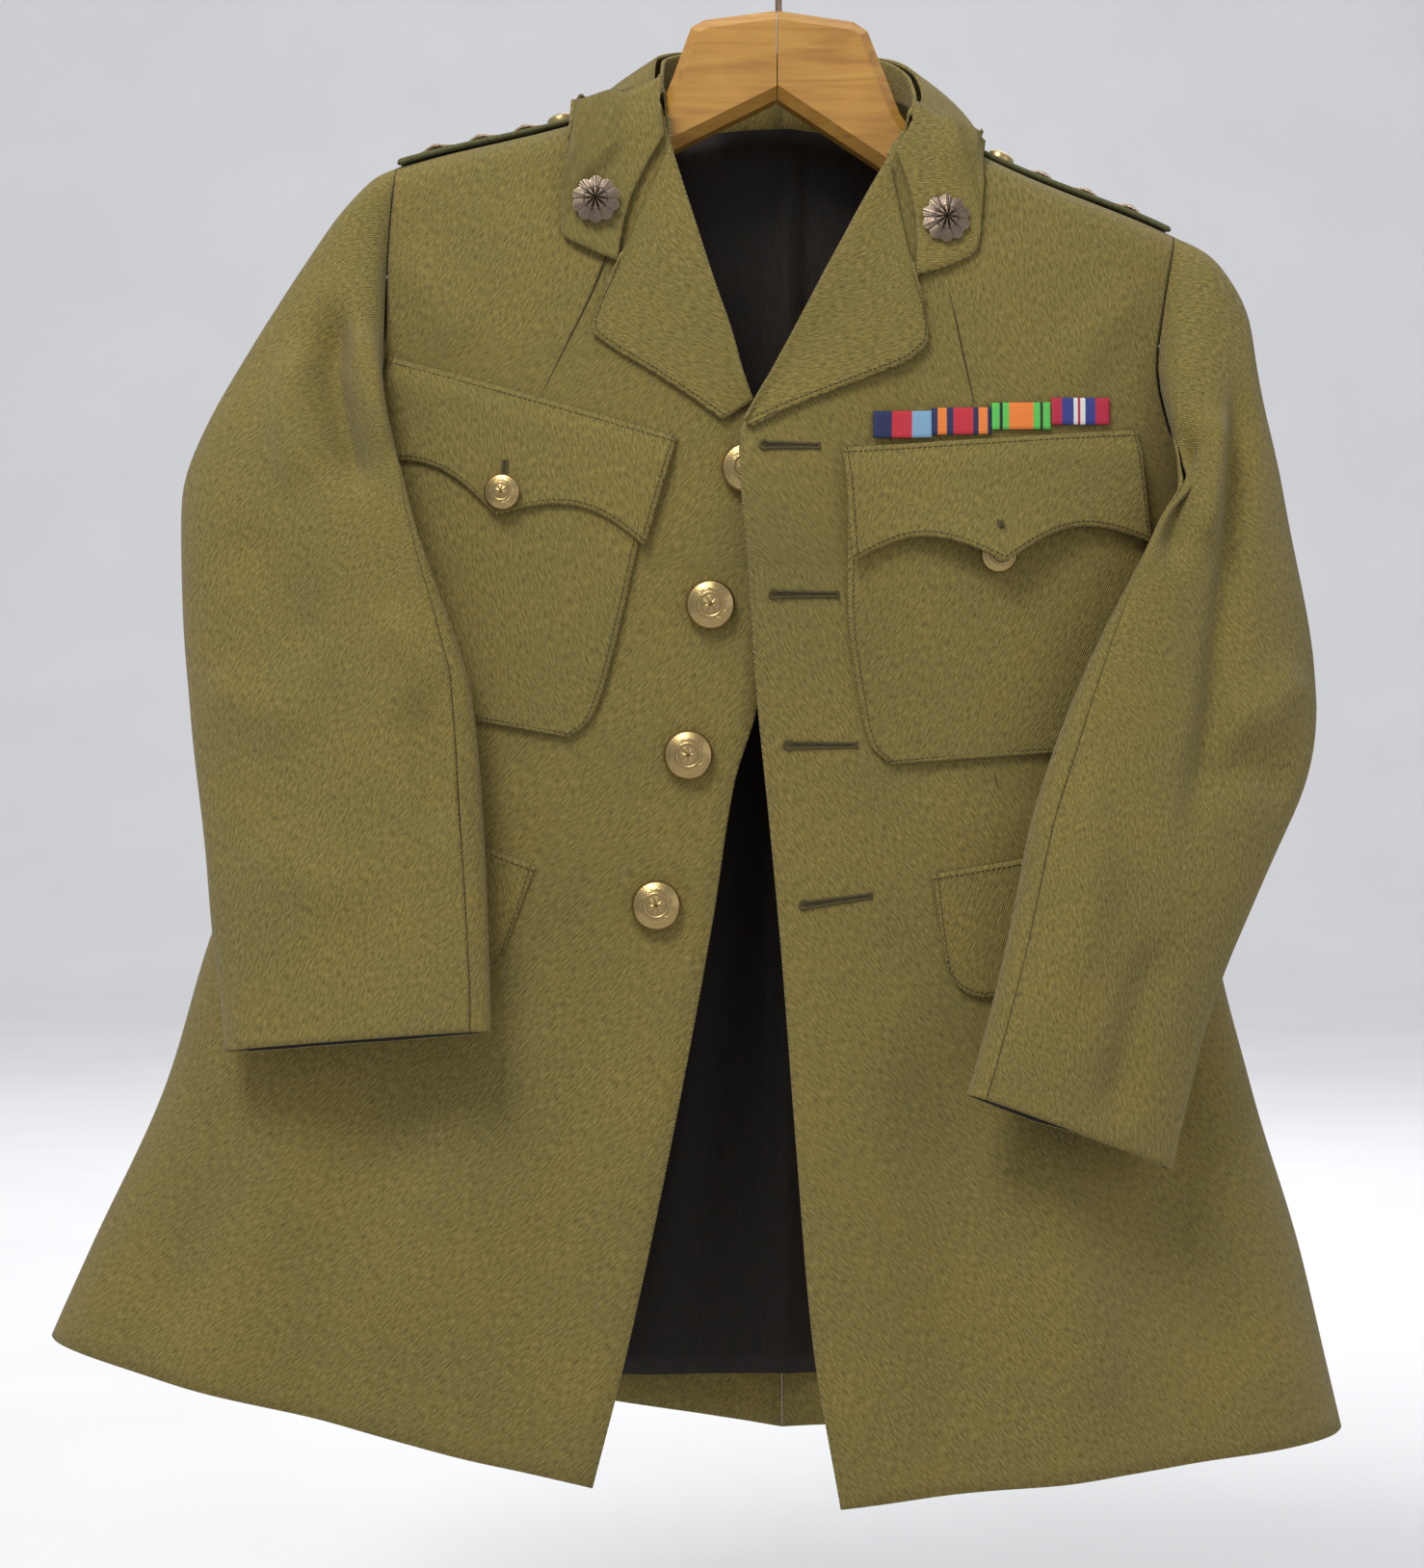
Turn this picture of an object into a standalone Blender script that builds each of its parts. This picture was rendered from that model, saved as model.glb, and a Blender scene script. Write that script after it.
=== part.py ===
"""Officer's service-dress tunic of khaki wool, worn open, hung on a plain wooden hanger.

Metres, +Z up. The front faces -Y and +X is on the viewer's right. The origin is where the
hook bears on its rail. Cloth pieces are thin walls over one shared body form.
"""
import math

import bmesh
import bpy
import numpy as np
from mathutils import Matrix, Vector

# ---- driving dimensions -------------------------------------------------------------
CLOTH = 0.002          # wall of one piece of cloth
UNDER_CLOTH = 0.0012   # wall of an under sleeve, which bunches at the armpit
SEAM = 0.0006          # gap between neighbouring pieces
ARMHOLE_GAP = {"left": 0.0018, "right": 0.0009}   # a sleeve stands this far off its armhole
LAY = 0.0008           # gap under a piece that lies on another
SIDE_ANGLE = 0.0015    # where a side seam starts on the level sections, in radians
POWER = 2.5            # superellipse power of the body's level sections
ROLL_DROP = 0.022      # height over which a shoulder turns from its ridge to the front
ROLL_POWER = 3.0
SLEEVE_POWER = 2.4
NECK_LEFT, NECK_RIGHT = -0.067, 0.074
NECK_BACK = -0.1125     # height of the neck seam at the centre back
SHOULDER_LEFT, SHOULDER_RIGHT = -0.203, 0.210
BUTTON_RADIUS = 0.013
SMALL_BUTTON_RADIUS = 0.0095
HOOK_WIRE = 0.0018     # radius of the hook's wire
HOOK_INNER = 0.022     # inner radius of the hook
HANGER_DEPTH = 0.024
HANGER_CHAMFER = 0.0055
SLEEVE_EASING = {"left": 2, "right": 3}   # passes that ease the sleeves' steps
NORMAL_EASING = 4      # passes that even out the directions in which a sleeve's wall is built
SLEEVE_ROOM = 0.011    # room for pockets and flaps between a sleeve and the body

# Body form: level, middle, half widths to the left and right, depths to the front and back.
BODY = np.array([
    (-0.10, 0.000, 0.245, 0.247, 0.036, 0.052),
    (-0.16, 0.000, 0.243, 0.246, 0.042, 0.046),
    (-0.22, 0.000, 0.240, 0.240, 0.050, 0.046),
    (-0.30, 0.000, 0.241, 0.232, 0.056, 0.046),
    (-0.38, 0.000, 0.243, 0.226, 0.060, 0.048),
    (-0.48, -0.004, 0.254, 0.229, 0.060, 0.045),
    (-0.56, -0.010, 0.291, 0.242, 0.063, 0.045),
    (-0.65, -0.016, 0.313, 0.269, 0.069, 0.048),
    (-0.74, -0.021, 0.349, 0.301, 0.076, 0.053),
    (-0.80, -0.025, 0.371, 0.319, 0.080, 0.056),
    (-0.88, -0.029, 0.392, 0.342, 0.084, 0.059),
])
# Ridge of the shoulders: across, height.
RIDGE = np.array([
    (-0.26, -0.174), (SHOULDER_LEFT, -0.159), (NECK_LEFT, -0.122), (-0.05, -0.100), (0.0, -0.070),
    (0.055, -0.105), (NECK_RIGHT, -0.134), (SHOULDER_RIGHT, -0.196), (0.27, -0.222)])
# Armhole seams: height, across.
ARMHOLE_LEFT = np.array([
    (-0.159, -0.203), (-0.205, -0.207), (-0.253, -0.209), (-0.274, -0.221), (-0.300, -0.231),
    (-0.340, -0.2375), (-0.365, -0.2405), (-0.378, -0.2435)])
ARMHOLE_RIGHT = np.array([
    (-0.196, 0.210), (-0.235, 0.203), (-0.270, 0.199), (-0.303, 0.206), (-0.321, 0.216),
    (-0.360, 0.223), (-0.415, 0.2295)])
# Inner edges of the fronts, roll line first and then the free edge: height, across.
EDGE_LEFT = np.array([
    (-0.122, -0.066), (-0.150, -0.058), (-0.215, -0.038), (-0.261, -0.023), (-0.289, -0.016),
    (-0.325, 0.011), (-0.396, -0.004), (-0.449, -0.012), (-0.488, -0.024), (-0.558, -0.035),
    (-0.671, -0.056), (-0.779, -0.079), (-0.850, -0.097)])
EDGE_RIGHT = np.array([
    (-0.134, 0.0750), (-0.158, 0.0575), (-0.215, 0.026), (-0.256, 0.005), (-0.294, -0.014),
    (-0.308, -0.022), (-0.334, -0.021), (-0.379, -0.017), (-0.440, -0.013), (-0.511, -0.006),
    (-0.577, 0.000), (-0.670, 0.007), (-0.773, 0.0155), (-0.860, 0.030)])
# How far the right front stands off the left one along its edge: height, lift.
OVERLAP_LIFT = np.array([
    (-0.134, 0.000), (-0.200, 0.001), (-0.260, 0.004), (-0.300, 0.011), (-0.330, 0.0135),
    (-0.400, 0.009), (-0.500, 0.006), (-0.860, 0.004)])
LIFT_REACH = 0.09
# Hem: across, height, from the left side round the front to the right side, and behind.
HEM_LEFT = np.array([(-0.400, -0.783), (-0.229, -0.819), (-0.097, -0.848), (0.0, -0.868)])
HEM_RIGHT = np.array([(-0.02, -0.866), (0.030, -0.860), (0.168, -0.847), (0.262, -0.835), (0.34, -0.831)])
HEM_BACK = np.array([(-0.40, -0.783), (-0.20, -0.822), (0.0, -0.846), (0.16, -0.842), (0.34, -0.831)])
# Soft hanging folds of the skirt: across at the hem, centre of lean, half width, depth, top.
FOLDS = np.array([
    (-0.315, 0.10, 0.028, 0.006, -0.56),
    (-0.245, 0.07, 0.030, -0.007, -0.52),
    (-0.165, 0.05, 0.026, 0.004, -0.60),
    (0.085, -0.02, 0.030, -0.004, -0.58),
    (0.150, -0.05, 0.026, 0.006, -0.55),
    (0.225, -0.09, 0.028, -0.006, -0.53),
])
# Collar, from the left gorge round the neck to the right gorge:
# roll across, depth, height, then outer edge across, depth, height.
COLLAR = np.array([
    (-0.058, -0.037, -0.150, -0.085, -0.047, -0.216),
    (-0.0595, -0.028, -0.136, -0.101, -0.044, -0.209),
    (-0.0615, -0.015, -0.122, -0.1145, -0.040, -0.200),
    (-0.0635, -0.005, -0.109, -0.115, -0.038, -0.176),
    (-0.0630, 0.008, -0.098, -0.111, -0.034, -0.154),
    (-0.054, 0.026, -0.0905, -0.105, -0.010, -0.130),
    (-0.043, 0.040, -0.0865, -0.096, 0.022, -0.124),
    (-0.024, 0.049, -0.0845, -0.062, 0.052, -0.126),
    (0.003, 0.052, -0.084, 0.003, 0.062, -0.128),
    (0.031, 0.048, -0.086, 0.070, 0.053, -0.132),
    (0.052, 0.038, -0.090, 0.103, 0.022, -0.137),
    (0.064, 0.022, -0.097, 0.107, -0.010, -0.141),
    (0.0715, 0.005, -0.108, 0.107, -0.034, -0.160),
    (0.0735, -0.010, -0.121, 0.106, -0.039, -0.182),
    (0.069, -0.022, -0.134, 0.103, -0.043, -0.209),
    (0.064, -0.031, -0.147, 0.089, -0.046, -0.218),
    (0.0575, -0.039, -0.158, 0.070, -0.049, -0.224),
])
# Lapels, from the gorge down the roll line: roll across, height, outer edge across, height.
LAPEL_LEFT = np.array([
    (-0.0575, -0.1535, -0.0845, -0.219), (-0.0505, -0.176, -0.0945, -0.240),
    (-0.042, -0.203, -0.0985, -0.252), (-0.034, -0.228, -0.089, -0.261),
    (-0.026, -0.251, -0.071, -0.272), (-0.019, -0.276, -0.048, -0.287),
    (-0.014, -0.290, -0.030, -0.300)])
LAPEL_RIGHT = np.array([
    (0.057, -0.1615, 0.0695, -0.227), (0.047, -0.178, 0.0745, -0.243),
    (0.037, -0.196, 0.0765, -0.257), (0.026, -0.216, 0.069, -0.267),
    (0.014, -0.239, 0.047, -0.277), (0.001, -0.264, 0.020, -0.288),
    (-0.0125, -0.290, -0.006, -0.299), (-0.019, -0.302, -0.0165, -0.304)])
# Sleeves, from the armhole to the cuff: outer edge across, depth, height, inner edge across,
# depth, height, front and back swell, and how much of the armhole's own shape is kept.
SLEEVE_LEFT = np.array([
    (-0.2035, 0.000, -0.159, -0.2215, -0.026, -0.274, 0.010, 0.030, 1.00),
    (-0.217, 0.000, -0.164, -0.220, -0.032, -0.287, 0.016, 0.030, 1.00),
    (-0.232, 0.000, -0.185, -0.215, -0.045, -0.303, 0.020, 0.030, 1.00),
    (-0.250, 0.000, -0.214, -0.206, -0.057, -0.325, 0.022, 0.030, 0.95),
    (-0.271, -0.004, -0.246, -0.196, -0.064, -0.345, 0.023, 0.030, 0.85),
    (-0.299, -0.010, -0.291, -0.189, -0.068, -0.363, 0.024, 0.028, 0.68),
    (-0.316, -0.018, -0.330, -0.179, -0.070, -0.386, 0.024, 0.026, 0.48),
    (-0.317, -0.026, -0.370, -0.169, -0.072, -0.408, 0.023, 0.024, 0.30),
    (-0.313, -0.033, -0.421, -0.159, -0.075, -0.436, 0.022, 0.022, 0.12),
    (-0.309, -0.040, -0.462, -0.1555, -0.078, -0.468, 0.021, 0.020, 0.03),
    (-0.303, -0.045, -0.500, -0.153, -0.082, -0.507, 0.020, 0.018, 0.0),
    (-0.297, -0.052, -0.550, -0.150, -0.087, -0.556, 0.019, 0.016, 0.0),
    (-0.291, -0.060, -0.602, -0.148, -0.093, -0.596, 0.017, 0.014, 0.0),
    (-0.288, -0.064, -0.628, -0.148, -0.096, -0.615, 0.016, 0.013, 0.0),
])
SLEEVE_RIGHT = np.array([
    (0.2105, 0.000, -0.196, 0.216, -0.023, -0.321, 0.010, 0.030, 1.00),
    (0.220, 0.000, -0.200, 0.217, -0.032, -0.330, 0.015, 0.030, 1.00),
    (0.231, 0.000, -0.209, 0.214, -0.042, -0.343, 0.019, 0.030, 1.00),
    (0.240, 0.000, -0.231, 0.206, -0.052, -0.359, 0.022, 0.030, 0.95),
    (0.246, -0.002, -0.262, 0.191, -0.060, -0.376, 0.024, 0.030, 0.85),
    (0.253, -0.006, -0.293, 0.183, -0.065, -0.388, 0.025, 0.028, 0.68),
    (0.261, -0.012, -0.327, 0.174, -0.069, -0.399, 0.026, 0.026, 0.50),
    (0.273, -0.022, -0.386, 0.160, -0.073, -0.423, 0.026, 0.024, 0.28),
    (0.281, -0.028, -0.427, 0.146, -0.077, -0.455, 0.025, 0.022, 0.12),
    (0.282, -0.034, -0.464, 0.136, -0.080, -0.482, 0.024, 0.020, 0.04),
    (0.273, -0.044, -0.498, 0.126, -0.084, -0.512, 0.023, 0.019, 0.0),
    (0.250, -0.054, -0.540, 0.121, -0.087, -0.538, 0.023, 0.018, 0.0),
    (0.232, -0.060, -0.580, 0.114, -0.091, -0.572, 0.022, 0.017, 0.0),
    (0.216, -0.066, -0.622, 0.104, -0.096, -0.611, 0.021, 0.016, 0.0),
    (0.206, -0.070, -0.665, 0.096, -0.101, -0.638, 0.019, 0.015, 0.0),
    (0.200, -0.072, -0.688, 0.093, -0.103, -0.646, 0.018, 0.015, 0.0),
])
ARMHOLE_INNER_SHARE = {"left": 0.27, "right": 0.29}   # share of the armhole before the inner edge
# Long fold down the right sleeve: ring, angle from the outer edge in degrees, depth.
SLEEVE_FOLD = np.array([(3, 60, 0.003), (6, 92, 0.009), (9, 95, 0.012), (12, 80, 0.011), (15, 68, 0.008)])
FRONT_SEAM, HIND_SEAM = math.radians(150), math.radians(325)

# Chest flaps: inner top corner, outer top corner, depth at the tips and at the point.
CHEST_FLAPS = {"left": ((-0.0535, -0.3085), (-0.205, -0.264)), "right": ((0.031, -0.3145), (0.187, -0.303))}
FLAP_TIP, FLAP_POINT, FLAP_SCALLOP = 0.060, 0.066, 0.013
# Patch pockets: height and across of the inner edge, then of the outer edge, top to bottom.
PATCHES = {
    "left": np.array([(-0.0645, -0.318, -0.197, -0.280), (-0.0775, -0.381, -0.208, -0.338),
                      (-0.0925, -0.441, -0.218, -0.404), (-0.099, -0.456, -0.220, -0.434),
                      (-0.110, -0.465, -0.217, -0.446)]),
    "right": np.array([(0.0345, -0.324, 0.182, -0.313), (0.034, -0.390, 0.192, -0.375),
                       (0.0395, -0.441, 0.194, -0.430), (0.046, -0.469, 0.192, -0.459),
                       (0.057, -0.479, 0.183, -0.470)]),
}
# Hip flaps: inner top corner, outer top corner, depth.
HIP_FLAPS = {"left": ((-0.127, -0.532), (-0.246, -0.4865)), "right": ((0.078, -0.536), (0.213, -0.5135))}
HIP_FLAP_DEPTH = 0.068
FRONT_BUTTONS = ((-0.018, -0.325), (-0.0365, -0.396), (-0.048, -0.474), (-0.0645, -0.552))
CHEST_BUTTONS = {"left": (-0.1435, -0.338), "right": (0.1125, -0.370)}
BADGES = {"left": (-0.096, -0.185), "right": (0.086, -0.1945)}
RIBBONS = ((0.0475, -0.3095), (0.0785, -0.3075), (0.1097, -0.3045), (0.141, -0.3015))
RIBBON_SIZE = (0.0315, 0.0142)
RIBBON_WALL = 0.0012
BADGE_LIFT = {"left": 0.0068, "right": 0.0047}
STRAP_BUTTONS = {"left": -0.1165, "right": 0.1185}
STRAP_TILT = {"left": -0.28, "right": 0.46}   # slope of each shoulder
PIPS = {"left": (-0.136, -0.160, -0.184), "right": (0.141, 0.165, 0.188)}
STRAP_HALF_WIDTH = 0.0215
STRAP_WALL = 0.003

KHAKI = (0.150, 0.118, 0.052)
KHAKI_DARK = (0.120, 0.096, 0.044)
LINING = (0.030, 0.019, 0.012)
BRASS = (0.62, 0.42, 0.17)
BRONZE = (0.14, 0.10, 0.075)
WOOD = (0.72, 0.47, 0.21)
STEEL = (0.33, 0.25, 0.19)


# ---- reading the tables -------------------------------------------------------------
def read(table, at):
    """Row of a table at a value of its first column, along smooth curves through its rows."""
    keys = table[:, 0]
    if keys[0] > keys[-1]:
        table, keys = table[::-1], keys[::-1]
    at = min(max(at, keys[0]), keys[-1])
    i = int(min(max(np.searchsorted(keys, at) - 1, 0), len(keys) - 2))
    step = keys[i + 1] - keys[i]
    t = (at - keys[i]) / step
    chord = (table[i + 1, 1:] - table[i, 1:]) / step
    before = chord if i == 0 else (table[i, 1:] - table[i - 1, 1:]) / (keys[i] - keys[i - 1])
    last = i + 2 >= len(keys)
    after = chord if last else (table[i + 2, 1:] - table[i + 1, 1:]) / (keys[i + 2] - keys[i + 1])
    start, end = limited_mean(before, chord), limited_mean(chord, after)
    rise = (3 * t * t - 2 * t ** 3) * (table[i + 1, 1:] - table[i, 1:])
    return table[i, 1:] + rise + step * (start * (t - 2 * t * t + t ** 3) + end * (t ** 3 - t * t))


def limited_mean(a, b):
    """Slope between two chords that never overshoots them."""
    same = a * b > 0
    safe = np.where(same, a + b, 1.0)
    return np.where(same, 2 * a * b / safe, 0.0)


def rows_of(table, count):
    """A table's columns read at evenly spread rows."""
    keyed = np.column_stack((np.arange(len(table)), table))
    return np.array([read(keyed, k) for k in np.linspace(0, len(table) - 1, count)])


def ease(t):
    """Smooth step from 0 to 1."""
    t = min(max(t, 0.0), 1.0)
    return t * t * (3 - 2 * t)


# ---- body form ----------------------------------------------------------------------
def ridge(x):
    return float(read(RIDGE, x)[0])


def shoulder_roll(x, z):
    """0 on the ridge of the shoulder, 1 where the front has turned fully down."""
    t = min(max((ridge(x) - z) / ROLL_DROP, 0.0), 1.0)
    return (1 - (1 - t) ** ROLL_POWER) ** (1 / ROLL_POWER)


def skirt_fold(x, z):
    """Outward reach of the soft hanging folds of the skirt."""
    total = 0.0
    for foot, lean, half, depth, top in FOLDS:
        centre = foot + lean * (z + 0.85) / 0.30 * 0.5
        fade = ease((top - z) / 0.22)
        total += depth * fade * math.exp(-((x - centre) / half) ** 2)
    return total


def body_swell(x, z):
    """Middle, half width on this side and swell of the level section at a place."""
    middle, left, right, front, back = read(BODY, z)
    half = left if x < middle else right
    share = min(abs((x - middle) / half), 1.0)
    return middle, half, (1 - share ** POWER) ** (1 / POWER), front, back


def front_depth(x, z):
    _, _, swell, front, _ = body_swell(x, z)
    return -front * swell * shoulder_roll(x, z) - skirt_fold(x, z) * swell


def back_depth(x, z):
    _, _, swell, _, back = body_swell(x, z)
    return back * swell * shoulder_roll(x, z) + 0.6 * skirt_fold(-x, z) * swell


def overlap_lift(x, z):
    """How far the right front stands off near its free edge."""
    away = (x - float(read(EDGE_RIGHT, z)[0])) / LIFT_REACH
    return float(read(OVERLAP_LIFT, z)[0]) * (1 - ease(away))


def front_point(side, x, z, out=0.0):
    """Point of a front's outer face, moved out along the face's normal."""
    def depth(px, pz):
        return front_depth(px, pz) - (overlap_lift(px, pz) if side == "right" else 0.0)
    if out == 0.0:
        return np.array((x, depth(x, z), z))
    step = 0.002
    slope_x = (depth(x + step, z) - depth(x - step, z)) / (2 * step)
    slope_z = (depth(x, z + step) - depth(x, z - step)) / (2 * step)
    normal = np.array((max(min(slope_x, 1.5), -1.5), -1.0, max(min(slope_z, 1.5), -1.5)))
    return np.array((x, depth(x, z), z)) + normal / np.linalg.norm(normal) * out


def level_angle(x, z):
    """Angle of a place on its level section, 0 at the right side and pi at the left."""
    middle, half, _, _, _ = body_swell(x, z)
    share = min(max((x - middle) / half, -1.0), 1.0)
    return math.acos(math.copysign(abs(share) ** (POWER / 2), share))


def level_across(angle, z):
    middle, left, right, _, _ = read(BODY, z)
    c = math.cos(angle)
    half = left if c < 0 else right
    return middle + half * math.copysign(abs(c) ** (2 / POWER), c)


# ---- mesh helpers -------------------------------------------------------------------
def clear_scene():
    for item in list(bpy.data.objects):
        bpy.data.objects.remove(item, do_unlink=True)


def material(name, colour, roughness=0.9, metallic=0.0):
    found = bpy.data.materials.get(name)
    if found:
        return found
    made = bpy.data.materials.new(name)
    made.use_nodes = True
    shader = made.node_tree.nodes["Principled BSDF"]
    shader.inputs["Base Color"].default_value = (*colour, 1)
    shader.inputs["Roughness"].default_value = roughness
    shader.inputs["Metallic"].default_value = metallic
    return made


def add_object(name, mesh, finish, smooth=True):
    if smooth:
        mesh.shade_smooth()
        mesh.set_sharp_from_angle(angle=math.radians(35))
    made = bpy.data.objects.new(name, mesh)
    bpy.context.scene.collection.objects.link(made)
    mesh.materials.append(finish)
    return made


def mesh_from(name, vertices, faces):
    """Mesh with its faces turned outwards."""
    mesh = bpy.data.meshes.new(name)
    mesh.from_pydata([tuple(map(float, v)) for v in vertices], [], faces)
    shape = bmesh.new()
    shape.from_mesh(mesh)
    bmesh.ops.recalc_face_normals(shape, faces=shape.faces)
    if shape.calc_volume(signed=True) < 0:
        bmesh.ops.reverse_faces(shape, faces=shape.faces)
    shape.to_mesh(mesh)
    shape.free()
    return mesh


def grid_normals(grid):
    down, across = np.gradient(grid, axis=0), np.gradient(grid, axis=1)
    normals = np.cross(down, across)
    return normals / np.maximum(np.linalg.norm(normals, axis=2, keepdims=True), 1e-9)


def wall(name, grid, outward, finish, thickness=CLOTH, level_rows=(), spare_columns=False):
    """Closed wall under a grid of outer points. outward gives a rough outer direction.

    With spare_columns the first and last columns only steer the normals of their neighbours.

    level_rows names grid borders ("top", "bottom", "start", "end") with an axis along which
    the wall's end face must not lean, so that two walls meet squarely at a seam.
    """
    grid = np.asarray(grid, dtype=float)
    normals = grid_normals(grid)
    middle = normals[normals.shape[0] // 2, normals.shape[1] // 2]
    if np.dot(middle, outward) < 0:
        normals = -normals
    if spare_columns:
        for _ in range(NORMAL_EASING):
            around = normals[:-2, 1:-1] + normals[2:, 1:-1] + normals[1:-1, :-2] + normals[1:-1, 2:]
            normals[1:-1, 1:-1] += around
            normals /= np.maximum(np.linalg.norm(normals, axis=2, keepdims=True), 1e-9)
        grid, normals = grid[:, 1:-1], normals[:, 1:-1]
    borders = {"top": np.s_[0, :], "bottom": np.s_[-1, :], "start": np.s_[:, 0], "end": np.s_[:, -1]}
    for border, axis in level_rows:
        flat = normals[borders[border]].copy()
        flat[:, axis] = 0.0
        normals[borders[border]] = flat / np.maximum(np.linalg.norm(flat, axis=1, keepdims=True), 1e-9)
    inner = grid - normals * thickness
    rows, columns = grid.shape[:2]
    count = rows * columns
    vertices = np.vstack((grid.reshape(-1, 3), inner.reshape(-1, 3)))
    at = lambda r, c: r * columns + c
    faces = []
    for r in range(rows - 1):
        for c in range(columns - 1):
            corner = (at(r, c), at(r, c + 1), at(r + 1, c + 1), at(r + 1, c))
            spot = [grid[q // columns, q % columns] for q in corner]
            if np.linalg.norm(spot[0] - spot[2]) > np.linalg.norm(spot[1] - spot[3]):
                corner = corner[1:] + corner[:1]
            for tri in ((corner[0], corner[1], corner[2]), (corner[0], corner[2], corner[3])):
                faces.append(tri)
                faces.append(tuple(count + q for q in reversed(tri)))
    border = [at(0, c) for c in range(columns)] + [at(r, columns - 1) for r in range(1, rows)]
    border += [at(rows - 1, c) for c in range(columns - 2, -1, -1)]
    border += [at(r, 0) for r in range(rows - 2, 0, -1)]
    for a, b in zip(border, border[1:] + border[:1]):
        faces += [(b, a, count + a), (b, count + a, count + b)]
    return add_object(name, mesh_from(name, vertices, faces), finish)


def turned(name, profile, finish, segments=20):
    """Solid turned about its own +Z axis from a profile of (radius, height), bottom to top."""
    vertices, rings = [], []
    for radius, height in profile:
        if radius < 1e-6:
            rings.append([len(vertices)])
            vertices.append((0, 0, height))
            continue
        rings.append(list(range(len(vertices), len(vertices) + segments)))
        turns = [2 * math.pi * k / segments for k in range(segments)]
        vertices += [(radius * math.cos(a), radius * math.sin(a), height) for a in turns]
    faces = []
    for low, high in zip(rings, rings[1:]):
        for k in range(segments):
            n = (k + 1) % segments
            if len(low) == 1:
                faces.append((low[0], high[n], high[k]))
            elif len(high) == 1:
                faces.append((low[k], low[n], high[0]))
            else:
                faces.append((low[k], low[n], high[n], high[k]))
    return add_object(name, mesh_from(name, vertices, faces), finish)


def stand_on(item, point, normal, spin=0.0):
    """Put an object's +Z axis on a normal with its origin at a point."""
    turn = Vector(normal).to_track_quat("Z", "Y").to_matrix().to_4x4()
    item.matrix_world = Matrix.Translation(Vector(point)) @ turn @ Matrix.Rotation(spin, 4, "Z")


def front_frame(side, x, z, out):
    point = front_point(side, x, z, out)
    normal = front_point(side, x, z, out + 0.001) - point
    return point, normal / np.linalg.norm(normal)


# ---- fronts, backs and lining -------------------------------------------------------
def armhole_across(side, z):
    table = ARMHOLE_LEFT if side == "left" else ARMHOLE_RIGHT
    if z <= table[-1, 0]:
        return None
    return float(read(table, z)[0])


def armpit_height(side):
    return float((ARMHOLE_LEFT if side == "left" else ARMHOLE_RIGHT)[-1, 0])


def outer_angle(side, z, gap):
    """Level-section angle of a panel's outer border: armhole above, side seam below."""
    across = armhole_across(side, z)
    if across is not None:
        inset = SEAM if side == "left" else -SEAM
        return level_angle(across + inset, z)
    return math.pi - gap if side == "left" else gap


def front_grid(side, rows=22, columns=10, out=0.0):
    edge = EDGE_LEFT if side == "left" else EDGE_RIGHT
    hem = HEM_LEFT if side == "left" else HEM_RIGHT
    ridge_outer = SHOULDER_LEFT if side == "left" else SHOULDER_RIGHT
    ridge_inner = NECK_LEFT if side == "left" else NECK_RIGHT
    yoke_rows = rows * 10 // 22
    armpit = armpit_height(side)
    grid = []
    for r in range(rows + 1):
        if r <= yoke_rows:
            t = (r / yoke_rows) ** 1.4
            outer_z = ridge(ridge_outer) + (armpit - ridge(ridge_outer)) * t
            inner_z = ridge(ridge_inner) + (armpit - ridge(ridge_inner)) * t
        else:
            t = (r - yoke_rows) / (rows - yoke_rows)
            side_x = level_across(math.pi if side == "left" else 0.0, -0.80)
            outer_z = armpit + (float(read(hem, side_x)[0]) - armpit) * t
            inner_z = armpit + (float(edge[-1, 0]) - armpit) * t
        start = outer_angle(side, outer_z, SIDE_ANGLE)
        end = level_angle(float(read(edge, inner_z)[0]), inner_z)
        outer_x, inner_x = level_across(start, outer_z), level_across(end, inner_z)
        line = []
        for c in range(columns + 1):
            angle = start + (end - start) * c / columns
            z = outer_z
            for _ in range(3):
                x = level_across(angle, z)
                share = min(max((x - outer_x) / (inner_x - outer_x), 0.0), 1.0)
                z = outer_z + (inner_z - outer_z) * share
                if r < yoke_rows:
                    drop = (ridge(outer_x) - outer_z) * (1 - share) + (ridge(inner_x) - inner_z) * share
                    z = ridge(x) - drop
            line.append(front_point(side, x, z, out))
        grid.append(line)
    grid = np.array(grid)
    grid[0, :, 1] = np.minimum(grid[0, :, 1], 0.0) - SEAM / 2
    return grid


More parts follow.
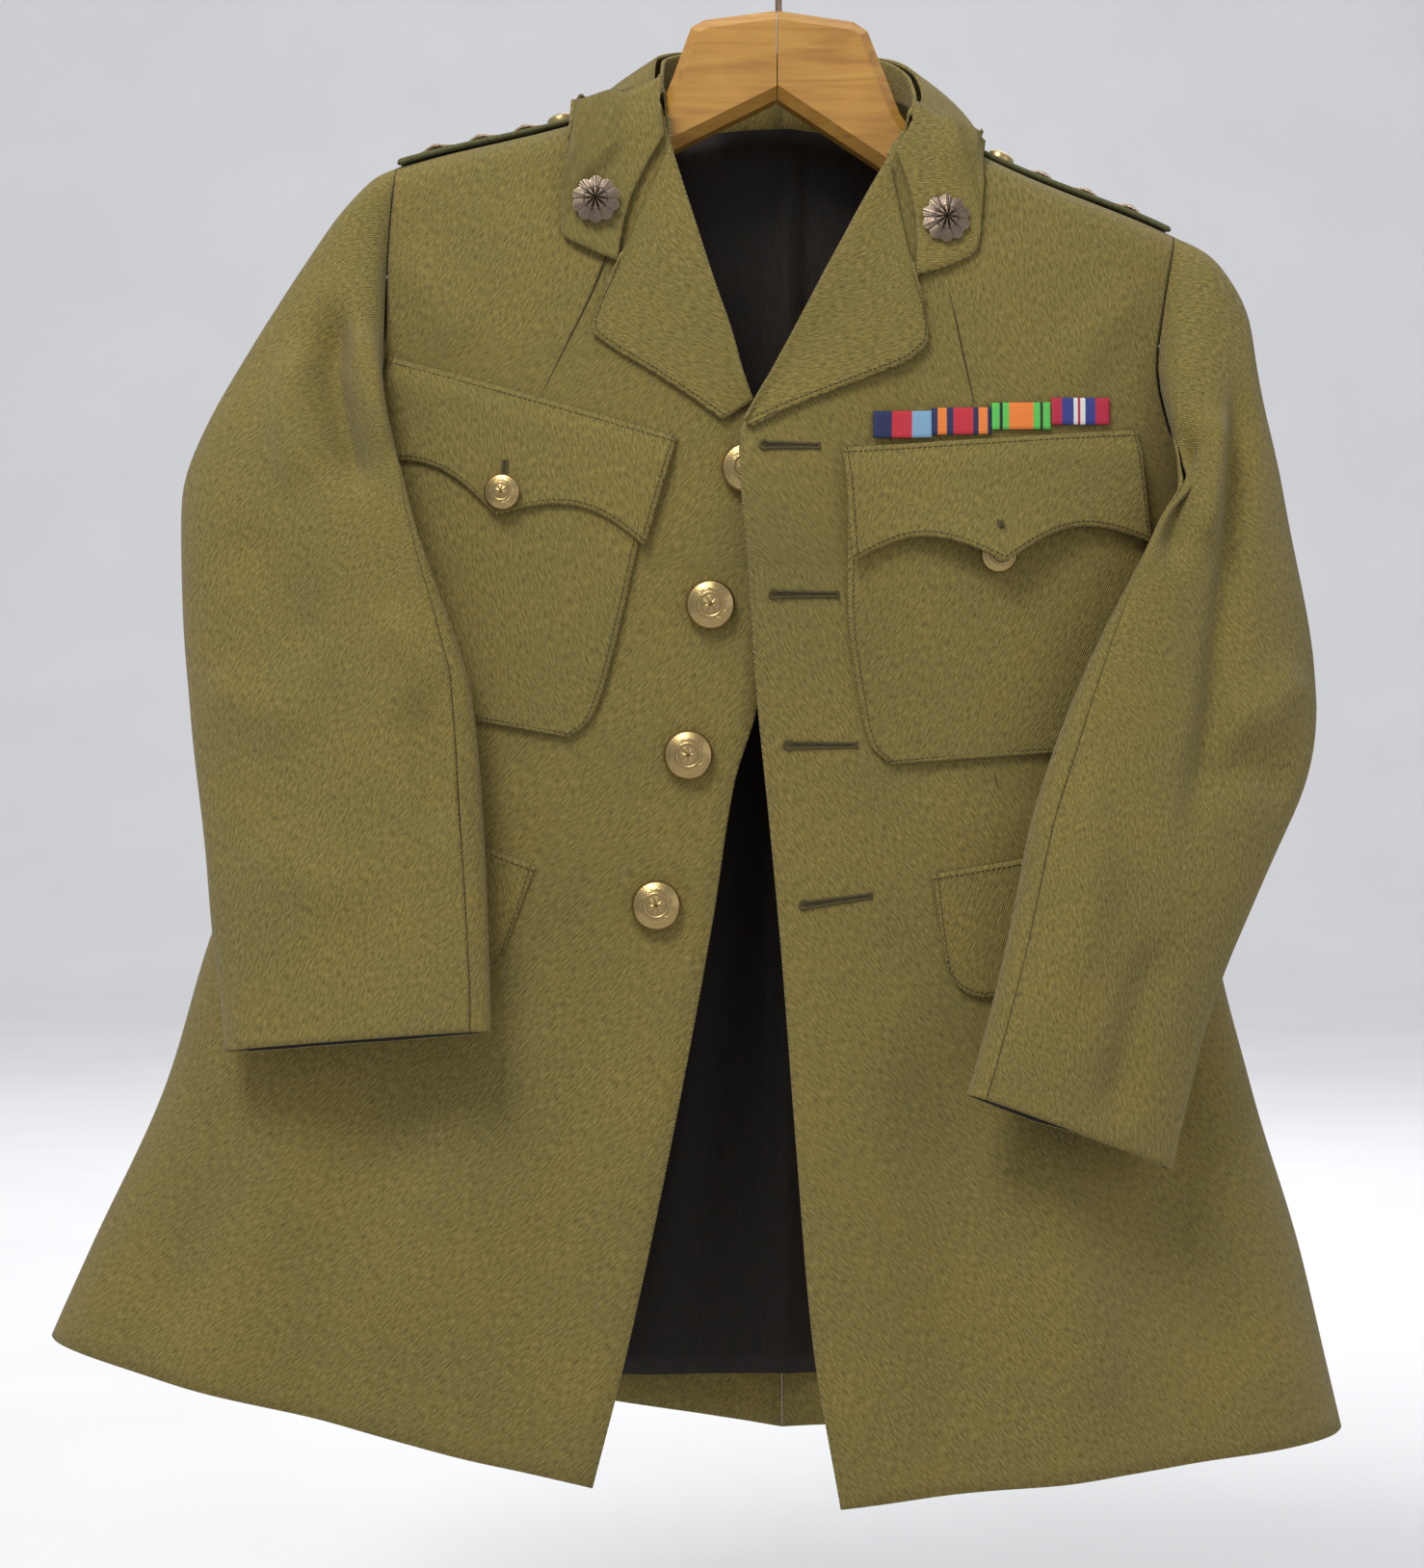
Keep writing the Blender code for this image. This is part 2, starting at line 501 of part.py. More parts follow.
def back_grid(side, rows=14, columns=8, out=0.0):
    hem_side = level_across(math.pi if side == "left" else 0.0, -0.80)
    ridge_outer = SHOULDER_LEFT if side == "left" else SHOULDER_RIGHT
    ridge_inner = NECK_LEFT if side == "left" else NECK_RIGHT
    centre = 0.003
    yoke_rows = rows * 6 // 14
    armpit = armpit_height(side)
    grid = []
    for r in range(rows + 1):
        t = (r / yoke_rows) ** 1.7 if r <= yoke_rows else (r - yoke_rows) / (rows - yoke_rows)
        if r <= yoke_rows:
            outer_z = ridge(ridge_outer) + (armpit - ridge(ridge_outer)) * t
            inner_z = NECK_BACK + (armpit - NECK_BACK) * t
        else:
            outer_z = armpit + (float(read(HEM_BACK, hem_side)[0]) - armpit) * t
            inner_z = armpit + (float(read(HEM_BACK, centre)[0]) - armpit) * t
        start = outer_angle(side, outer_z, SIDE_ANGLE)
        gap = SEAM / 2 if side == "right" else -SEAM / 2
        end = level_angle(centre + gap, inner_z)
        outer_x, inner_x = level_across(start, outer_z), level_across(end, inner_z)
        line = []
        for c in range(columns + 1):
            angle = start + (end - start) * c / columns
            z = outer_z
            for _ in range(3):
                x = level_across(angle, z)
                share = min(max((x - outer_x) / (inner_x - outer_x), 0.0), 1.0)
                z = outer_z + (inner_z - outer_z) * share
                if r < yoke_rows:
                    z = back_top(x, ridge_inner) - ((1 - share) * (ridge(outer_x) - outer_z)
                                                    + share * (NECK_BACK - inner_z))
            line.append((x, back_depth(x, z) + out, z))
        grid.append(line)
    grid = np.array(grid)
    grid[0, :, 1] = np.maximum(grid[0, :, 1], SEAM / 2)
    return grid


def back_top(x, neck):
    """Upper border of the back: the shoulder ridge outside the neck, the neck seam inside it."""
    share = x / neck
    if share >= 1.0:
        return ridge(x)
    return NECK_BACK + (ridge(neck) - NECK_BACK) * max(share, 0.0) ** 2


def make_body(cloth, dark):
    front, back = (0, -1, 0), (0, 1, 0)
    for side in ("left", "right"):
        flat = (("top", 1), ("start", 1))
        wall("front_" + side, front_grid(side), front, cloth, level_rows=flat)
        wall("back_" + side, back_grid(side), back, cloth, level_rows=flat + (("end", 0),))
    lining = []
    for t in np.linspace(0, 1, 11):
        line = []
        for share in np.linspace(-0.80, 0.80, 9):
            z = -0.30 - 0.515 * t
            x = level_across(math.acos(math.copysign(abs(share) ** (POWER / 2), share)), z)
            neck = NECK_LEFT if x < 0 else NECK_RIGHT
            top = back_top(x, neck) - 0.016
            z = top + (-0.815 - top) * t
            line.append((x, back_depth(x, z) - CLOTH - LAY - 0.0016, z))
        lining.append(line)
    wall("back_lining", lining, back, dark, thickness=0.0012)


# ---- collar and lapels --------------------------------------------------------------
def over_front(side, x, z, out):
    return front_point(side, x, z, out)


def make_lapel(side, cloth):
    table = LAPEL_LEFT if side == "left" else LAPEL_RIGHT
    grid = []
    for roll_x, roll_z, tip_x, tip_z in rows_of(table, 10):
        line = []
        for t in np.linspace(0, 1, 5):
            x, z = roll_x + (tip_x - roll_x) * t, roll_z + (tip_z - roll_z) * t
            lift = LAY + CLOTH + 0.0022 * math.exp(-((t / 0.22) ** 2))
            line.append(over_front(side, x, z, lift))
        grid.append(line)
    wall("lapel_" + side, grid, (0, -1, 0), cloth)


def neck_outward(x, y):
    away = np.array((x - 0.003, y + 0.004, 0.0))
    return away / np.linalg.norm(away)


def stand_height(t):
    return 0.0025 + 0.0255 * math.sin(math.pi * t) ** 1.3


def make_collar(cloth, dark):
    rows = rows_of(COLLAR, 27)
    stand, fall = [], []
    for k, (rx, ry, rz, ex, ey, ez) in enumerate(rows):
        t = k / (len(rows) - 1)
        away = neck_outward(rx, ry)
        roll = np.array((rx, ry, rz))
        foot = roll + away * 0.001 - np.array((0, 0, stand_height(t) - 0.0008))
        if abs(ry) < 0.028 and abs(rx) > 0.05:
            foot[2] = max(foot[2], ridge(NECK_LEFT if rx < 0 else NECK_RIGHT) + SEAM)
        stand.append([roll * (1 - s) + foot * s for s in (0.0, 0.5, 1.0)])
        edge = np.array((ex, ey, ez))
        line = []
        for s in np.linspace(0, 1, 5):
            p = roll + (edge - roll) * s + away * 0.0032 * (1 - s)
            p = p + np.array((0, 0, 0.0015)) * (1 - s) + away * 0.006 * math.sin(math.pi * s)
            over_strap = 0.0046 if abs(p[0]) > 0.086 and abs(p[1]) < 0.032 else 0.0
            line.append(clear_of_shoulder(p, LAY + CLOTH + 0.0014 + over_strap))
        fall.append(line)
    wall("collar_stand", stand, (0, 1, 0), dark)
    wall("collar_fall", fall, (0, 1, 0), cloth)


def clear_of_shoulder(point, clearance):
    """Move a point out of the body form's upper part by a clearance."""
    x, y, z = point
    if z > ridge(x) + clearance:
        return point
    side = "left" if x < 0 else "right"
    if y <= 0.002:
        lifted = front_point(side, x, min(z, ridge(x) - 0.004), clearance)
        depth = min(y, lifted[1])
        if z > ridge(x) - 0.010:
            z = max(z, ridge(x) + clearance)
        return np.array((x, depth, z))
    depth = max(y, back_depth(x, min(z, ridge(x) - 0.004)) + clearance)
    if z > ridge(x) - 0.010 and abs(x) > 0.07:
        z = max(z, ridge(x) + clearance)
    return np.array((x, depth, z))


# ---- sleeves ------------------------------------------------------------------------
def armhole_ring(side, shares):
    """Points round an armhole seam, from the ridge down the front and up the back."""
    table = ARMHOLE_LEFT if side == "left" else ARMHOLE_RIGHT
    heights = np.concatenate((np.linspace(0, 0.06, 7)[:-1], np.linspace(0.06, 1, 18)))
    dense = []
    for t in heights:
        z = table[0, 0] + (table[-1, 0] - table[0, 0]) * t
        dense.append((float(read(table, z)[0]), z))
    gap = -ARMHOLE_GAP[side] if side == "left" else ARMHOLE_GAP[side]
    path = [np.array((x + gap, front_depth(x, z), z)) for x, z in dense]
    path += [np.array((x + 1.8 * gap, back_depth(x, z), z)) for x, z in reversed(dense[:-1])]
    path = np.array(path)
    run = np.concatenate(((0,), np.cumsum(np.linalg.norm(np.diff(path, axis=0), axis=1))))
    wanted = np.asarray(shares) * run[-1]
    return np.column_stack([np.interp(wanted, run, path[:, k]) for k in range(3)])


def ring_axes(table, k):
    """Centre, half-width vector and forward direction of a sleeve's section."""
    centres = (table[:, 0:3] + table[:, 3:6]) / 2
    ahead = centres[min(k + 1, len(table) - 1)] - centres[max(k - 1, 0)]
    half = (table[k, 3:6] - table[k, 0:3]) / 2
    forward = np.cross(half, ahead)
    forward = forward / np.linalg.norm(forward)
    if forward[1] > 0:
        forward = -forward
    return centres[k], half, forward


def fold_dip(side, ring, angle):
    if side == "left":
        return 0.0
    degrees, depth = read(SLEEVE_FOLD, ring)
    fade = ease((ring - 2) / 3)
    spread = 16.0
    valley = math.exp(-((math.degrees(angle) - degrees) / spread) ** 2)
    crest = math.exp(-((math.degrees(angle) - degrees + 38) / 24.0) ** 2)
    return fade * depth * (valley - 0.7 * crest)


def section_point(side, table, row, angle, grow=0.0):
    """Point of a sleeve's section at a fractional row and an angle from its outer edge."""
    k = min(int(row), len(table) - 2)
    t = row - k
    centre_a, half_a, forward_a = ring_axes(table, k)
    centre_b, half_b, forward_b = ring_axes(table, k + 1)
    centre, half = centre_a + (centre_b - centre_a) * t, half_a + (half_b - half_a) * t
    forward = forward_a + (forward_b - forward_a) * t
    swell = table[k, 6:8] + (table[k + 1, 6:8] - table[k, 6:8]) * t
    c, s = math.cos(angle), math.sin(angle)
    power = 2 / SLEEVE_POWER
    along_half = math.copysign(abs(c) ** power, c)
    reach = (swell[0] if s >= 0 else swell[1]) + grow
    lift = math.copysign(abs(s) ** power, s) * reach
    if s > 0:
        lift -= fold_dip(side, row, angle)
    wide = 1 + grow / np.linalg.norm(half)
    return centre - half * along_half * wide + forward * lift


def armhole_share(side, angle):
    front = ARMHOLE_INNER_SHARE[side]
    if angle <= math.pi:
        return front * angle / math.pi
    return front + (1 - front) * (angle - math.pi) / math.pi


def clear_of_body(side, point, amount):
    """Push a sleeve's point out of the body form, to lie over the pockets on it."""
    x, y, z = point
    room = SLEEVE_ROOM * amount
    hole = armhole_across(side, z)
    middle, half, _, front, back = body_swell(x, z)
    if hole is not None and abs(hole) < 0.95 * half:
        inside = ease((abs(hole) + 0.006 - abs(x)) / 0.006)
        if y < 0:
            y += (min(y, front_depth(x, z) - room) - y) * inside
        else:
            x = math.copysign(max(abs(x), abs(hole) + ARMHOLE_GAP[side] + 0.5 * room), x)
        return np.array((x, y, z))
    wide = half + room
    deep = (front if y < 0 else back) + room + abs(skirt_fold(x, z))
    filled = abs((x - middle) / wide) ** POWER + abs(y / deep) ** POWER
    if filled < 1:
        grow = max(filled, 1e-3) ** (-1 / POWER)
        grow = 1 + (grow - 1) * min(amount * 2, 1.0)
        x, y = middle + (x - middle) * grow, y * grow
    return np.array((x, y, z))


def sleeve_grid(side, first_angle, last_angle, columns, rows):
    table = SLEEVE_LEFT if side == "left" else SLEEVE_RIGHT
    step = (last_angle - first_angle) / columns
    angles = np.linspace(first_angle - step, last_angle + step, columns + 3)
    ring = armhole_ring(side, [armhole_share(side, a % (2 * math.pi)) for a in angles])
    grid = []
    for row in np.linspace(0, len(table) - 1, rows + 1):
        keep = float(np.interp(row, range(len(table)), table[:, 8]))
        line = []
        for angle, seam_point in zip(angles, ring):
            start = section_point(side, table, 0.0, angle)
            here = section_point(side, table, row, angle)
            point = here + keep * (seam_point - start)
            line.append(clear_of_body(side, point, min(row / 1.3, 1.0)))
        grid.append(line)
    return relaxed(np.array(grid), SLEEVE_EASING[side])


def relaxed(grid, times):
    """Grid with sharp steps eased out of it, its border and seam columns kept."""
    for _ in range(times):
        inner = (grid[:-2, 2:-2] + grid[2:, 2:-2] + grid[1:-1, 1:-3] + grid[1:-1, 3:-1]) / 4
        grid[1:-1, 2:-2] = (grid[1:-1, 2:-2] + inner) / 2
    return grid


def make_sleeves(cloth, dark):
    gap = math.radians(2.3)
    for side in ("left", "right"):
        rows, under_columns = (15, 10) if side == "left" else (16, 15)
        top = sleeve_grid(side, HIND_SEAM + gap, 2 * math.pi + FRONT_SEAM - gap, 10, rows)
        under = sleeve_grid(side, FRONT_SEAM + gap, HIND_SEAM - gap, under_columns, rows)
        at_seam = (("top", 0),)
        wall("sleeve_top_" + side, top, (0, -1, 0), cloth, level_rows=at_seam, spare_columns=True)
        wall("sleeve_under_" + side, under, (0, 1, 0), cloth, UNDER_CLOTH, at_seam, spare_columns=True)


# ---- pockets and flaps --------------------------------------------------------------
def flap_grid(side, corners, drop, out, columns, rows, outer_limit=0.97):
    """Grid of a flap hung from a straight top line; drop gives its depth across."""
    inner, outer = (np.array(c) for c in corners)
    axis = outer - inner
    down = np.array((axis[1], -axis[0])) / np.linalg.norm(axis)
    if down[1] > 0:
        down = -down
    grid = []
    for r in range(rows + 1):
        line = []
        for c in range(columns + 1):
            s = c / columns
            x, z = inner + axis * s + down * drop(s) * r / rows
            line.append(front_point(side, x, z, out(s, r / rows)))
        grid.append(line)
    return grid


def chest_drop(s):
    tips = FLAP_TIP + (FLAP_POINT - FLAP_TIP) * (1 - abs(2 * s - 1))
    return tips - FLAP_SCALLOP * abs(math.sin(2 * math.pi * s))


def hip_drop(s):
    corner = 0.15
    if s >= corner:
        return HIP_FLAP_DEPTH
    return HIP_FLAP_DEPTH - 0.020 * (1 - math.sqrt(max(1 - (1 - s / corner) ** 2, 0.0)))


def flap_lift(side, s, t):
    """The right chest flap is unbuttoned: it stands off, most at its point."""
    if side == "left":
        return 0.0
    return 0.003 * t + 0.0085 * t * t * math.exp(-((s - 0.5) / 0.20) ** 2)


def make_pockets(cloth):
    lay = LAY + CLOTH
    for side in ("left", "right"):
        patch = []
        for inner_x, inner_z, outer_x, outer_z in rows_of(PATCHES[side], 8):
            line = [front_point(side, inner_x + (outer_x - inner_x) * s,
                                inner_z + (outer_z - inner_z) * s, lay + 0.0003) for s in np.linspace(0, 1, 9)]
            patch.append(line)
        wall("chest_pocket_" + side, patch, (0, -1, 0), cloth)
        wall("chest_flap_" + side,
             flap_grid(side, CHEST_FLAPS[side], chest_drop,
                       lambda s, t: lay + (lay + 0.0004) * ease(4 * t) + flap_lift(side, s, t), 14, 4),
             (0, -1, 0), cloth)
        wall("hip_flap_" + side,
             flap_grid(side, HIP_FLAPS[side], hip_drop, lambda s, t: lay + 0.0006, 10, 3), (0, -1, 0), cloth)


# ---- shoulder straps ----------------------------------------------------------------
def strap_point(side, across, over, out):
    """Point over the shoulder's ridge; over runs from -1 at the front to 1 behind."""
    depth = front_depth if over < 0 else back_depth
    reach = abs(depth(across, ridge(across) - ROLL_DROP))
    y = over * STRAP_HALF_WIDTH
    share = min(abs(y) / max(reach, 1e-4), 0.97)
    drop = ROLL_DROP * (1 - (1 - share ** ROLL_POWER) ** (1 / ROLL_POWER))
    tilt = math.copysign(share ** 2, y) * 0.6
    normal = np.array((0.0, tilt, 1.0)) / math.hypot(tilt, 1.0)
    return np.array((across, y, ridge(across) - drop)) + normal * out


def make_straps(cloth):
    for side, sign in (("left", -1), ("right", 1)):
        grid = []
        for t in np.linspace(0, 1, 8):
            across = sign * (0.1015 + (0.2035 - 0.1015) * t)
            across += 0.005 * t if side == "right" else 0.0
            width = 0.80 + 0.20 * t
            line = [strap_point(side, across, over * width, LAY + 0.0005 + STRAP_WALL) for over in np.linspace(-1, 1, 5)]
            grid.append(line)
        wall("strap_" + side, grid, (0, 0, 1), cloth, thickness=STRAP_WALL)


# ---- metal --------------------------------------------------------------------------
def button_profile(radius, height):
    """Domed button on a short shank, bottom to top."""
    points = [(0.0, 0.0), (0.22 * radius, 0.0), (0.22 * radius, 0.0016), (0.94 * radius, 0.0019),
              (radius, 0.0028)]
    for k in range(1, 5):
        lean = math.pi / 2 * k / 5
        points.append((0.97 * radius * math.cos(lean), 0.0030 + (height - 0.0030) * math.sin(lean)))
    return points + [(0.0, height)]


def star_mesh(name, radius, rays, height, inner=0.6):
    """Star plate with a raised middle."""
    vertices = [(0, 0, 0), (0, 0, height)]
    count = 2 * rays
    for z in (0.0, 0.0008):
        for k in range(count):
            reach = radius if k % 2 == 0 else radius * inner
            angle = 2 * math.pi * k / count
            vertices.append((reach * math.cos(angle), reach * math.sin(angle), z))
    faces = []
    for k in range(count):
        n = (k + 1) % count
        low, low_next, high, high_next = 2 + k, 2 + n, 2 + count + k, 2 + count + n
        faces += [(0, low_next, low), (low, low_next, high_next, high), (high, high_next, 1)]
    return mesh_from(name, vertices, faces)


def make_metal(brass, bronze):
    seat = LAY * 0.6
    for k, (x, z) in enumerate(FRONT_BUTTONS):
        button = turned(f"button_{k + 1}", button_profile(BUTTON_RADIUS, 0.0092), brass)
        stand_on(button, *front_frame("left", x, z, seat))
    for side in ("left", "right"):
        x, z = CHEST_BUTTONS[side]
        lift = 2 * (LAY + CLOTH) + 0.0004 if side == "left" else LAY + CLOTH
        lift += seat
        button = turned("chest_button_" + side, button_profile(SMALL_BUTTON_RADIUS, 0.0068), brass, 16)
        stand_on(button, *front_frame(side, x, z, lift))
        over_strap = LAY + 0.0005 + STRAP_WALL + seat
        small = turned("strap_button_" + side, button_profile(0.0072, 0.006), brass, 16)
        across = STRAP_BUTTONS[side]
        stand_on(small, strap_point(side, across, 0.0, over_strap), (STRAP_TILT[side], 0, 1))
        for n, across in enumerate(PIPS[side]):
            pip = add_object(f"pip_{side}_{n + 1}", star_mesh("pip", 0.0105, 4, 0.004, 0.62), bronze, False)
            stand_on(pip, strap_point(side, across, 0.0, over_strap + 0.0004), (STRAP_TILT[side], 0, 1))
        x, z = BADGES[side]
        badge = add_object("badge_" + side, star_mesh("badge", 0.0125, 10, 0.0052, 0.88), bronze, False)
        point, normal = front_frame(side, x, z, 0.0)
        stand_on(badge, point + normal * BADGE_LIFT[side], normal)


def make_ribbons(finish):
    width, height = RIBBON_SIZE
    for k, (x, z) in enumerate(RIBBONS):
        grid = []
        for t in (1.0, 0.5, 0.0):
            line = []
            for s in np.linspace(0.0, 0.975, 5):
                px = x + width * s
                line.append(front_point("right", px, z + height * t + 0.0006 * s, LAY + 0.0003 + RIBBON_WALL))
            grid.append(line)
        wall(f"ribbon_{k + 1}", grid, (0, -1, 0), finish[k], thickness=RIBBON_WALL)


# ---- hanger -------------------------------------------------------------------------
def hanger_outline(side):
    """Outline of one half of the hanger in its own plane, from the joint's top."""
    sign = -1 if side == "left" else 1
    joint = -0.001 + sign * SEAM / 2
    shoulder = SHOULDER_LEFT if side == "left" else SHOULDER_RIGHT
    crown = [(joint, -0.0745), (-0.040, -0.0795), (-0.047, -0.0835), (-0.0575, -0.112)] if side == "left" \
        else [(joint, -0.0745), (0.040, -0.0805), (0.0475, -0.0855), (0.0650, -0.130)]
    neck = crown[-1][0]
    top, bottom = [], []
    stations = np.linspace(0, 1, 7)
    for t in stations:
        x = neck + sign * 0.006 + (shoulder - sign * 0.012 - neck - sign * 0.006) * t
        top.append((x, ridge(x) - CLOTH - 0.0055))
    crotch = (-0.056, -0.149) if side == "left" else (0.0533, -0.158)
    for t in stations[1:]:
        x = crotch[0] + (shoulder - sign * 0.012 - crotch[0]) * t
        bottom.append((x, ridge(x) - CLOTH - 0.0055 - 0.034 + 0.012 * t))
    return crown + top + bottom[::-1] + [crotch, (joint, -0.122)]


def make_hanger(wood, steel):
    for side in ("left", "right"):
        outline = hanger_outline(side)
        front = [(x, -HANGER_DEPTH / 2, z) for x, z in outline]
        back = [(x, HANGER_DEPTH / 2, z) for x, z in outline]
        n = len(outline)
        faces = [tuple(range(n)), tuple(range(2 * n - 1, n - 1, -1))]
        faces += [(k, (k + 1) % n, n + (k + 1) % n, n + k) for k in range(n)]
        mesh = mesh_from("hanger", front + back, faces)
        chamfer_faces(mesh, outline[0][0])
        add_object("hanger_" + side, mesh, wood, False)
    make_hook(steel)


def chamfer_faces(mesh, joint):
    """Chamfer round the front and back faces, except along the joint of the two halves."""
    shape = bmesh.new()
    shape.from_mesh(mesh)
    def on_joint(vertex):
        return abs(vertex.co.x - joint) < 1e-5
    chosen = [e for e in shape.edges
              if abs(e.verts[0].co.y - e.verts[1].co.y) < 1e-6
              and not (on_joint(e.verts[0]) and on_joint(e.verts[1]))]
    bmesh.ops.bevel(shape, geom=chosen, offset=HANGER_CHAMFER, segments=1, affect="EDGES", profile=0.5)
    bmesh.ops.remove_doubles(shape, verts=shape.verts, dist=1e-6)
    shape.to_mesh(mesh)
    shape.free()


def hook_path():
    radius = HOOK_INNER + HOOK_WIRE
    points = [(0.0, -0.0738), (0.0, -0.066), (0.0, -0.058), (0.002, -0.052), (0.007, -0.0475)]
    for degrees in range(-50, 211, 13):
        angle = math.radians(degrees)
        points.append((radius * math.cos(angle), -HOOK_INNER + radius * math.sin(angle)))
    return points


def make_hook(steel):
    curve = bpy.data.curves.new("hook", "CURVE")
    curve.dimensions = "3D"
    curve.bevel_depth = HOOK_WIRE
    curve.bevel_resolution = 2
    curve.use_fill_caps = True
    spline = curve.splines.new("POLY")
    path = hook_path()
    spline.points.add(len(path) - 1)
    for point, (x, z) in zip(spline.points, path):
        point.co = (x, 0.0, z, 1.0)
    hook = bpy.data.objects.new("hook", curve)
    bpy.context.scene.collection.objects.link(hook)
    curve.materials.append(steel)


def main():
    clear_scene()
    cloth, dark = material("khaki_cloth", KHAKI), material("lining", LINING, 0.6)
    pocket_cloth = material("khaki_pocket", KHAKI_DARK)
    brass, bronze = material("brass", BRASS, 0.35, 1.0), material("bronze", BRONZE, 0.5, 1.0)
    wood, steel = material("wood", WOOD, 0.5), material("steel", STEEL, 0.4, 1.0)
    stripes = [material("ribbon_" + name, colour) for name, colour in (
        ("star", (0.06, 0.08, 0.25)), ("campaign", (0.55, 0.03, 0.04)),
        ("defence", (0.75, 0.25, 0.06)), ("war", (0.5, 0.05, 0.08)))]
    make_body(cloth, dark)
    make_lapel("left", cloth)
    make_lapel("right", cloth)
    make_collar(cloth, dark)
    make_sleeves(cloth, dark)
    make_pockets(pocket_cloth)
    make_straps(cloth)
    make_metal(brass, bronze)
    make_ribbons(stripes)
    make_hanger(wood, steel)


main()
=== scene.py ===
"""Looks of the officer's tunic on its hanger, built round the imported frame.

Metres, +Z up, front towards -Y. The cloth shells follow the same form as the CAD panels, finer.
"""
import math

import bmesh
import bpy
import numpy as np
from mathutils import Matrix, Vector


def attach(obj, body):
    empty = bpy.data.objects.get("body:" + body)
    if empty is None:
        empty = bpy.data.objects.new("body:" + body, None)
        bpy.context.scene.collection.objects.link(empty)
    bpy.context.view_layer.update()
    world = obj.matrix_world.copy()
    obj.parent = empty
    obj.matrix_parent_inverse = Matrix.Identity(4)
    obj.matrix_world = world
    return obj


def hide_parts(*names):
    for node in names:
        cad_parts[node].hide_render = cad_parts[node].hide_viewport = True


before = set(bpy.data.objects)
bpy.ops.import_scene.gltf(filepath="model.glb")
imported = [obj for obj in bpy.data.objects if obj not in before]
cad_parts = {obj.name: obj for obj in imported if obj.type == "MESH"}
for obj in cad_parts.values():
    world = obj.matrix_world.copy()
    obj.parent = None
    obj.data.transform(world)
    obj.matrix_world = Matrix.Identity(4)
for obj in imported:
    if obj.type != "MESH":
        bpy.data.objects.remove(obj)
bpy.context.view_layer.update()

# ---- driving dimensions -------------------------------------------------------------
CLOTH = 0.002          # wall of one piece of cloth
UNDER_CLOTH = 0.0012   # wall of an under sleeve, which bunches at the armpit
SEAM = 0.0001          # gap between neighbouring pieces
ARMHOLE_GAP = {"left": 0.0003, "right": 0.0003}   # a sleeve stands this far off its armhole
LAY = 0.0008           # gap under a piece that lies on another
SIDE_ANGLE = 0.0015    # where a side seam starts on the level sections, in radians
POWER = 2.5            # superellipse power of the body's level sections
ROLL_DROP = 0.022      # height over which a shoulder turns from its ridge to the front
ROLL_POWER = 3.0
SLEEVE_POWER = 2.4
NECK_LEFT, NECK_RIGHT = -0.067, 0.074
NECK_BACK = -0.1125     # height of the neck seam at the centre back
SHOULDER_LEFT, SHOULDER_RIGHT = -0.203, 0.210
BUTTON_RADIUS = 0.013
SMALL_BUTTON_RADIUS = 0.0095
SLEEVE_ROOM = 0.011    # room for pockets and flaps between a sleeve and the body

# Body form: level, middle, half widths to the left and right, depths to the front and back.
BODY = np.array([
    (-0.10, 0.000, 0.245, 0.247, 0.036, 0.052),
    (-0.16, 0.000, 0.243, 0.246, 0.042, 0.046),
    (-0.22, 0.000, 0.240, 0.240, 0.050, 0.046),
    (-0.30, 0.000, 0.241, 0.232, 0.056, 0.046),
    (-0.38, 0.000, 0.243, 0.226, 0.060, 0.048),
    (-0.48, -0.004, 0.254, 0.229, 0.060, 0.045),
    (-0.56, -0.010, 0.291, 0.242, 0.063, 0.045),
    (-0.65, -0.016, 0.313, 0.269, 0.069, 0.048),
    (-0.74, -0.021, 0.349, 0.301, 0.076, 0.053),
    (-0.80, -0.025, 0.371, 0.319, 0.080, 0.056),
    (-0.88, -0.029, 0.392, 0.342, 0.084, 0.059),
])
# Ridge of the shoulders: across, height.
RIDGE = np.array([
    (-0.26, -0.174), (SHOULDER_LEFT, -0.159), (NECK_LEFT, -0.122), (-0.05, -0.100), (0.0, -0.070),
    (0.055, -0.105), (NECK_RIGHT, -0.134), (SHOULDER_RIGHT, -0.196), (0.27, -0.222)])
# Armhole seams: height, across.
ARMHOLE_LEFT = np.array([
    (-0.159, -0.203), (-0.205, -0.207), (-0.253, -0.209), (-0.274, -0.221), (-0.300, -0.231),
    (-0.340, -0.2375), (-0.365, -0.2405), (-0.378, -0.2435)])
ARMHOLE_RIGHT = np.array([
    (-0.196, 0.210), (-0.235, 0.203), (-0.270, 0.199), (-0.303, 0.206), (-0.321, 0.216),
    (-0.360, 0.223), (-0.415, 0.2295)])
# Inner edges of the fronts, roll line first and then the free edge: height, across.
EDGE_LEFT = np.array([
    (-0.122, -0.066), (-0.150, -0.058), (-0.215, -0.038), (-0.261, -0.023), (-0.289, -0.016),
    (-0.325, 0.011), (-0.396, -0.004), (-0.449, -0.012), (-0.488, -0.024), (-0.558, -0.035),
    (-0.671, -0.056), (-0.779, -0.079), (-0.850, -0.097)])
EDGE_RIGHT = np.array([
    (-0.134, 0.0750), (-0.158, 0.0575), (-0.215, 0.026), (-0.256, 0.005), (-0.294, -0.014),
    (-0.308, -0.022), (-0.334, -0.021), (-0.379, -0.017), (-0.440, -0.013), (-0.511, -0.006),
    (-0.577, 0.000), (-0.670, 0.007), (-0.773, 0.0155), (-0.860, 0.030)])
# How far the right front stands off the left one along its edge: height, lift.
OVERLAP_LIFT = np.array([
    (-0.134, 0.000), (-0.200, 0.001), (-0.260, 0.004), (-0.300, 0.011), (-0.330, 0.0135),
    (-0.400, 0.009), (-0.500, 0.006), (-0.860, 0.004)])
LIFT_REACH = 0.09
